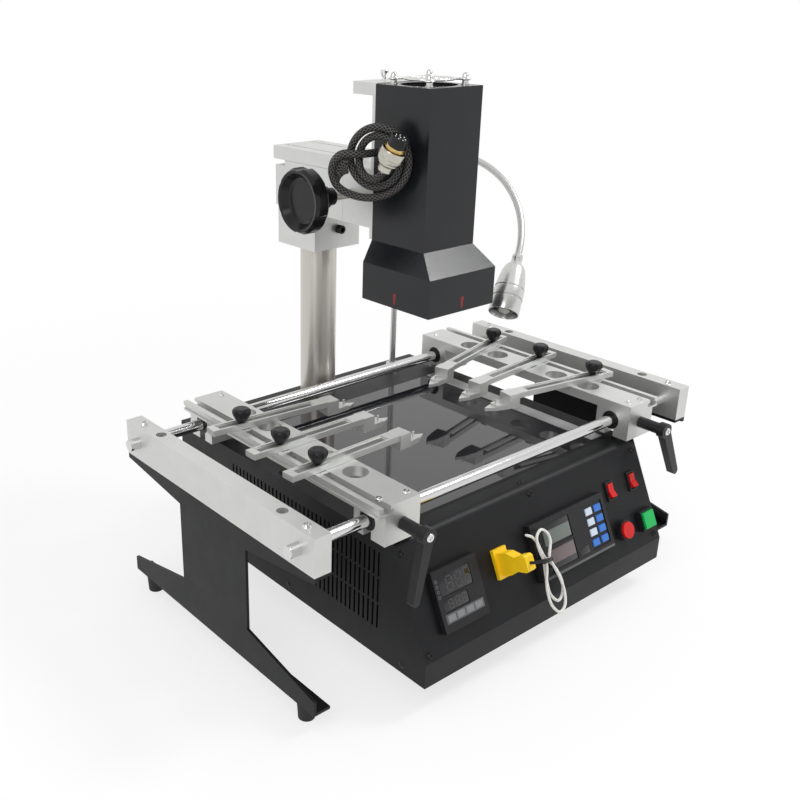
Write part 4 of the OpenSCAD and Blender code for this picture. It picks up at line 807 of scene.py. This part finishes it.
# Heater head. A folded sheet box in fine black texture paint over a flared hood, with two small red
# ticks that mark the middle of the beam, a fan in the top and a chromed wire guard on domed screws.
head_coat = finish_of("head_texture_coat", lambda t: {
    "Base Color": t.mix(t.noise(40, 4) + 0.5, (0.007, 0.0076, 0.009), (0.012, 0.0128, 0.0152)),
    "Roughness": 0.19 + t.noise(200, 3) * 0.06,
    "Specular IOR Level": 0.32,
    "Normal": t.bump(t.noise(1500, 3), 0.0001),
})
dress(head_coat, "head_shell")
bm = bmesh.new()
hood_z = 262
corners = ((-0.8, 0), (0.8, 0), (1.9, 9.6), (-1.9, 9.6))
for where in (place(at(-38.5, -3, hood_z), (-1, 0, 0), (0, -1, 0)),
              place(at(0, -43, hood_z), (0, -1, 0), (1, 0, 0))):
    front, rear = [[bm.verts.new(where @ (Vector((*p, n)) / 1000)) for p in corners]
                   for n in (0.12, -0.2)]
    bm.faces.new(front)
    bm.faces.new(rear[::-1])
    for k in range(4):
        bm.faces.new([front[k], rear[k], rear[(k + 1) % 4], front[(k + 1) % 4]])
dark_red = finish_of("dark_red_paint", lambda t: {
    "Base Color": t.mix(t.noise(900, 3) + 0.5, (0.1, 0.004, 0.004), (0.3, 0.012, 0.01)),
    "Roughness": 0.5 + t.noise(300) * 0.12,
})
piece("beam_ticks", bm, dark_red, "head")
fan_black = finish_of("fan_black", lambda t: {
    "Base Color": t.mix(t.noise(120, 3) + 0.5, (0.009, 0.009, 0.01), (0.017, 0.017, 0.018)),
    "Roughness": 0.48 + t.noise(500) * 0.14,
})
dress(fan_black, "head_fan", "fan_rotor")
head_top, fan_y, hole = 435.5, 6, 20
wire_z, wire_r, eye_r = head_top + 4.5, 0.0009, 3.6
bm = bmesh.new()
for r in (8, 14, 20):
    ring = [at(r * math.cos(a), fan_y + r * math.sin(a), wire_z)
            for a in (math.tau * k / 48 for k in range(49))]
    tube(bm, ring, wire_r, 12)
for sx in (-1, 1):
    for sy in (-1, 1):
        d = Vector((sx, sy, 0)).normalized()
        spoke = [Vector((0, fan_y, wire_z)) + d * r for r in (0, 8, 15, 22.6)]
        middle = Vector((sx * hole, fan_y + sy * hole, wire_z))
        eye = [middle + eye_r * Vector((math.cos(a), math.sin(a), 0))
               for a in (math.atan2(-sy, -sx) + math.tau * k / 16 for k in range(16))]
        tube(bm, [at(*p) for p in smooth(spoke, 3) + eye], wire_r, 12)
piece("fan_guard", bm, plated, "head", 60)
bm = bmesh.new()
for sx in (-1, 1):
    for sy in (-1, 1):
        lathe(bm, [(0, 0), (3.3, 0), (3.3, 1), (2.65, 1.2), (2.65, 3.4), (3.2, 3.7), (3.4, 5.2),
                   (2.9, 5.8), (2.65, 6.3), (2.6, 7), (2.45, 7.9), (2.18, 8.4), (1.88, 8.78),
                   (1.48, 9.1), (1.02, 9.36), (0.4, 9.5), (0, 9.5)],
              place(at(sx * hole, fan_y + sy * hole, head_top), (0, 0, 1)), 32)
piece("guard_screws", bm, satin_chrome, "head", 26)
bm = bmesh.new()
lathe(bm, [(0, 0), (1.7, 0), (1.7, 2.6), (2.2, 3), (3.5, 6.2), (3.5, 8), (3.1, 8.5), (0, 8.5)],
      place(at(-5.7, 52.3, head_top + 0.5), (0, 0, 1)), 28)
piece("bracket_thumb_screw", bm, plated, "head", 26)


# Board frame. Two folded black stands on rubber feet carry milled aluminium end bars and two ground,
# chromed guide rods, held with bright cross-head screws.
dress(powder_coat, "side_stands")
dress(satin_aluminium, "end_bars")
chromed_rod = finish_of("chromed_rod", lambda t: {
    "Base Color": t.mix(t.noise(800, 2, (0.02, 1, 1)) + 0.5, (0.6, 0.6, 0.6), (0.72, 0.72, 0.72)),
    "Metallic": 1.0,
    "Roughness": 0.1 + t.noise(900, 3, (0.03, 1, 1)) * 0.1,
})
dress(chromed_rod, "guide_rods")
spots = [(at(s * 217.5, y, 163.5), (0, 0, 1)) for s in (-1, 1) for y in (-111, 111)]
large_head = {"Diameter": 7.6, "Height": 1.8, "Recess": 4.6}
repeat("end_bar_screws", screw_tree, spots, large_head, plated, "board_frame")


# Beams. Slotted aluminium plates with five large bores on bearing blocks that run on the rods, with
# black bushings in the blocks, corner screws from above and a black clamping lever on the front block.
dress(satin_aluminium, "left_beam_plate", "right_beam_plate", "left_beam_blocks", "right_beam_blocks")
plate_top, rod_z, rod_y, block_w = 166, 148, 110, 34.5
beam_head = {"Diameter": 6, "Height": 0.9, "Recess": 3.4}
for side, sign, corner, bolt, inner in (("left", -1, -132, (-155.5, -116), -126),
                                        ("right", 1, 141.5, (156, -122), 132)):
    spots = [(at(corner, y, plate_top), (0, 0, 1)) for y in (-120, 120)]
    repeat(f"{side}_beam_screws", screw_tree, spots, beam_head, plated, f"{side}_beam")
    bm = bmesh.new()
    lathe(bm, [(0, -1), (2.6, -1), (2.6, 0.8), (2.2, 1.3), (1.2, 1.3), (1.1, 0.6), (0, 0.6)],
          place(at(*bolt, plate_top), (0, 0, 1)), 20)
    piece(f"{side}_slot_bolt", bm, plated, f"{side}_beam")
    bm = bmesh.new()
    for y in (-rod_y, rod_y):
        for x, way in ((inner, -sign), (inner + sign * block_w, sign)):
            lathe(bm, [(5.1, -1.9), (8.4, -1.9), (8.4, -0.2), (8, 0.1), (5.5, 0.1), (5.1, -0.4),
                       (5.1, -1.9)], place(at(x, y, rod_z), (way, 0, 0), (0, 1, 0)), 32)
    piece(f"{side}_bushings", bm, moulded_black, f"{side}_beam")
    bm = bmesh.new()
    lathe(bm, [(0, 0), (3.4, 0), (3.4, 0.7), (3, 1.2), (1.7, 1.2), (1.6, 0.3), (0, 0.3)],
          place(at(inner + sign * block_w / 2, -156.5, rod_z), (0, -1, 0)), 24)
    piece(f"{side}_lever_screw", bm, plated, f"{side}_lock")
dress(moulded_black, "left_lever", "right_lever")


# Clamp arms. Six slotted aluminium arms with claws that hold the board's edges. Each is held on a
# plated T nut in the beam's slot by a black lobed knob on a steel stud.
for side in ("left", "right"):
    for i in (1, 2, 3):
        dress(satin_aluminium, f"{side}_arm_{i}")
        dress(moulded_black, f"{side}_knob_{i}")
        dress(plated, f"{side}_t_nut_{i}")


# Studio. A pale floor that runs out of sight and keeps the shadow, one soft lamp over the right
# shoulder and a weak one at the left. The surround is white behind and above and dim at the viewer's
# side, for the metal to mirror.
bm = bmesh.new()
floor_half = 6
for x, y in ((-1, -1), (1, -1), (1, 1), (-1, 1)):
    bm.verts.new((x * floor_half, y * floor_half, 0))
bm.faces.new(bm.verts[:])
floor_mesh = bpy.data.meshes.new("floor")
bm.to_mesh(floor_mesh)
bm.free()
floor = bpy.data.objects.new("floor", floor_mesh)
scene.collection.objects.link(floor)
floor_finish = bpy.data.materials.new("pale_floor")
floor_finish.use_nodes = True
t = Tone(floor_finish.node_tree)
bsdf = floor_finish.node_tree.nodes["Principled BSDF"]
bsdf.inputs["Base Color"].default_value = (0.82, 0.82, 0.82, 1)
bsdf.inputs["Roughness"].default_value = 0.9
bsdf.inputs["Specular IOR Level"].default_value = 0.1


def in_sight(t):
    """1 for what the camera sees directly, in a mirror or through glass."""
    rays = [t.node("ShaderNodeLightPath", {}, {}, f"Is {kind} Ray")
            for kind in ("Camera", "Glossy", "Transmission")]
    return t.math("MAXIMUM", t.math("MAXIMUM", rays[0], rays[1]), rays[2])


eased = {"interpolation_type": "SMOOTHSTEP"}
here = t.node("ShaderNodeTexCoord", {}, {}, "Object")
away = t.node("ShaderNodeVectorMath", {"operation": "LENGTH"}, {0: here}, 1)
far = t.node("ShaderNodeMapRange", eased, {0: away, 1: 0.35, 2: 1.1, 3: 0.72, 4: 1.0})
white = t.node("ShaderNodeEmission", {}, {"Color": (1, 1, 1, 1), "Strength": 1.0})
matt = Tone(t.tree, bsdf.outputs[0])
mixed = t.node("ShaderNodeMixShader", {}, {0: in_sight(t) * far, 1: matt, 2: white})
t.tree.links.new(mixed.out, t.tree.nodes["Material Output"].inputs[0])
floor_mesh.materials.append(floor_finish)
floor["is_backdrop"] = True

world = bpy.data.worlds.new("surround")
scene.world = world
world.use_nodes = True
t = Tone(world.node_tree)
background = world.node_tree.nodes["Background"]
way = t.node("ShaderNodeTexCoord", {}, {}, "Generated")
x, y, z = (t.node("ShaderNodeSeparateXYZ", {}, {"Vector": way}, axis) for axis in "XYZ")
# The glow rises towards the far side and the top. The camera and the metal see a white horizon.
behind = x * 0.62 + y * 0.78 + z * 0.9
glow = t.node("ShaderNodeMapRange", eased, {0: behind, 1: -0.5, 2: 0.6, 3: 0.38, 4: 0.95})
horizon = t.node("ShaderNodeMapRange", eased, {0: z, 1: 0.2, 2: 0.55, 3: 1.0, 4: 0.0})
strength = t.math("MAXIMUM", glow, in_sight(t) * horizon)
background.inputs["Color"].default_value = (1, 1, 1, 1)
world.node_tree.links.new(strength.out, background.inputs["Strength"])


def soft_lamp(name, where, aim, size, power):
    """A square lamp that looks at aim, in metres and watts."""
    lamp = bpy.data.objects.new(name, bpy.data.lights.new(name, "AREA"))
    scene.collection.objects.link(lamp)
    lamp.location = where
    lamp.rotation_euler = (Vector(aim) - Vector(where)).to_track_quat("-Z", "Y").to_euler()
    lamp.data.size = size
    lamp.data.energy = power


soft_lamp("main_lamp", (0.92, -0.58, 1.45), (0, 0, 0.2), 0.4, 12.5)
soft_lamp("side_lamp", (-1.3, -0.5, 1.1), (0, 0, 0.15), 1.0, 8)
scene.view_settings.view_transform = "Standard"

low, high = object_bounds()
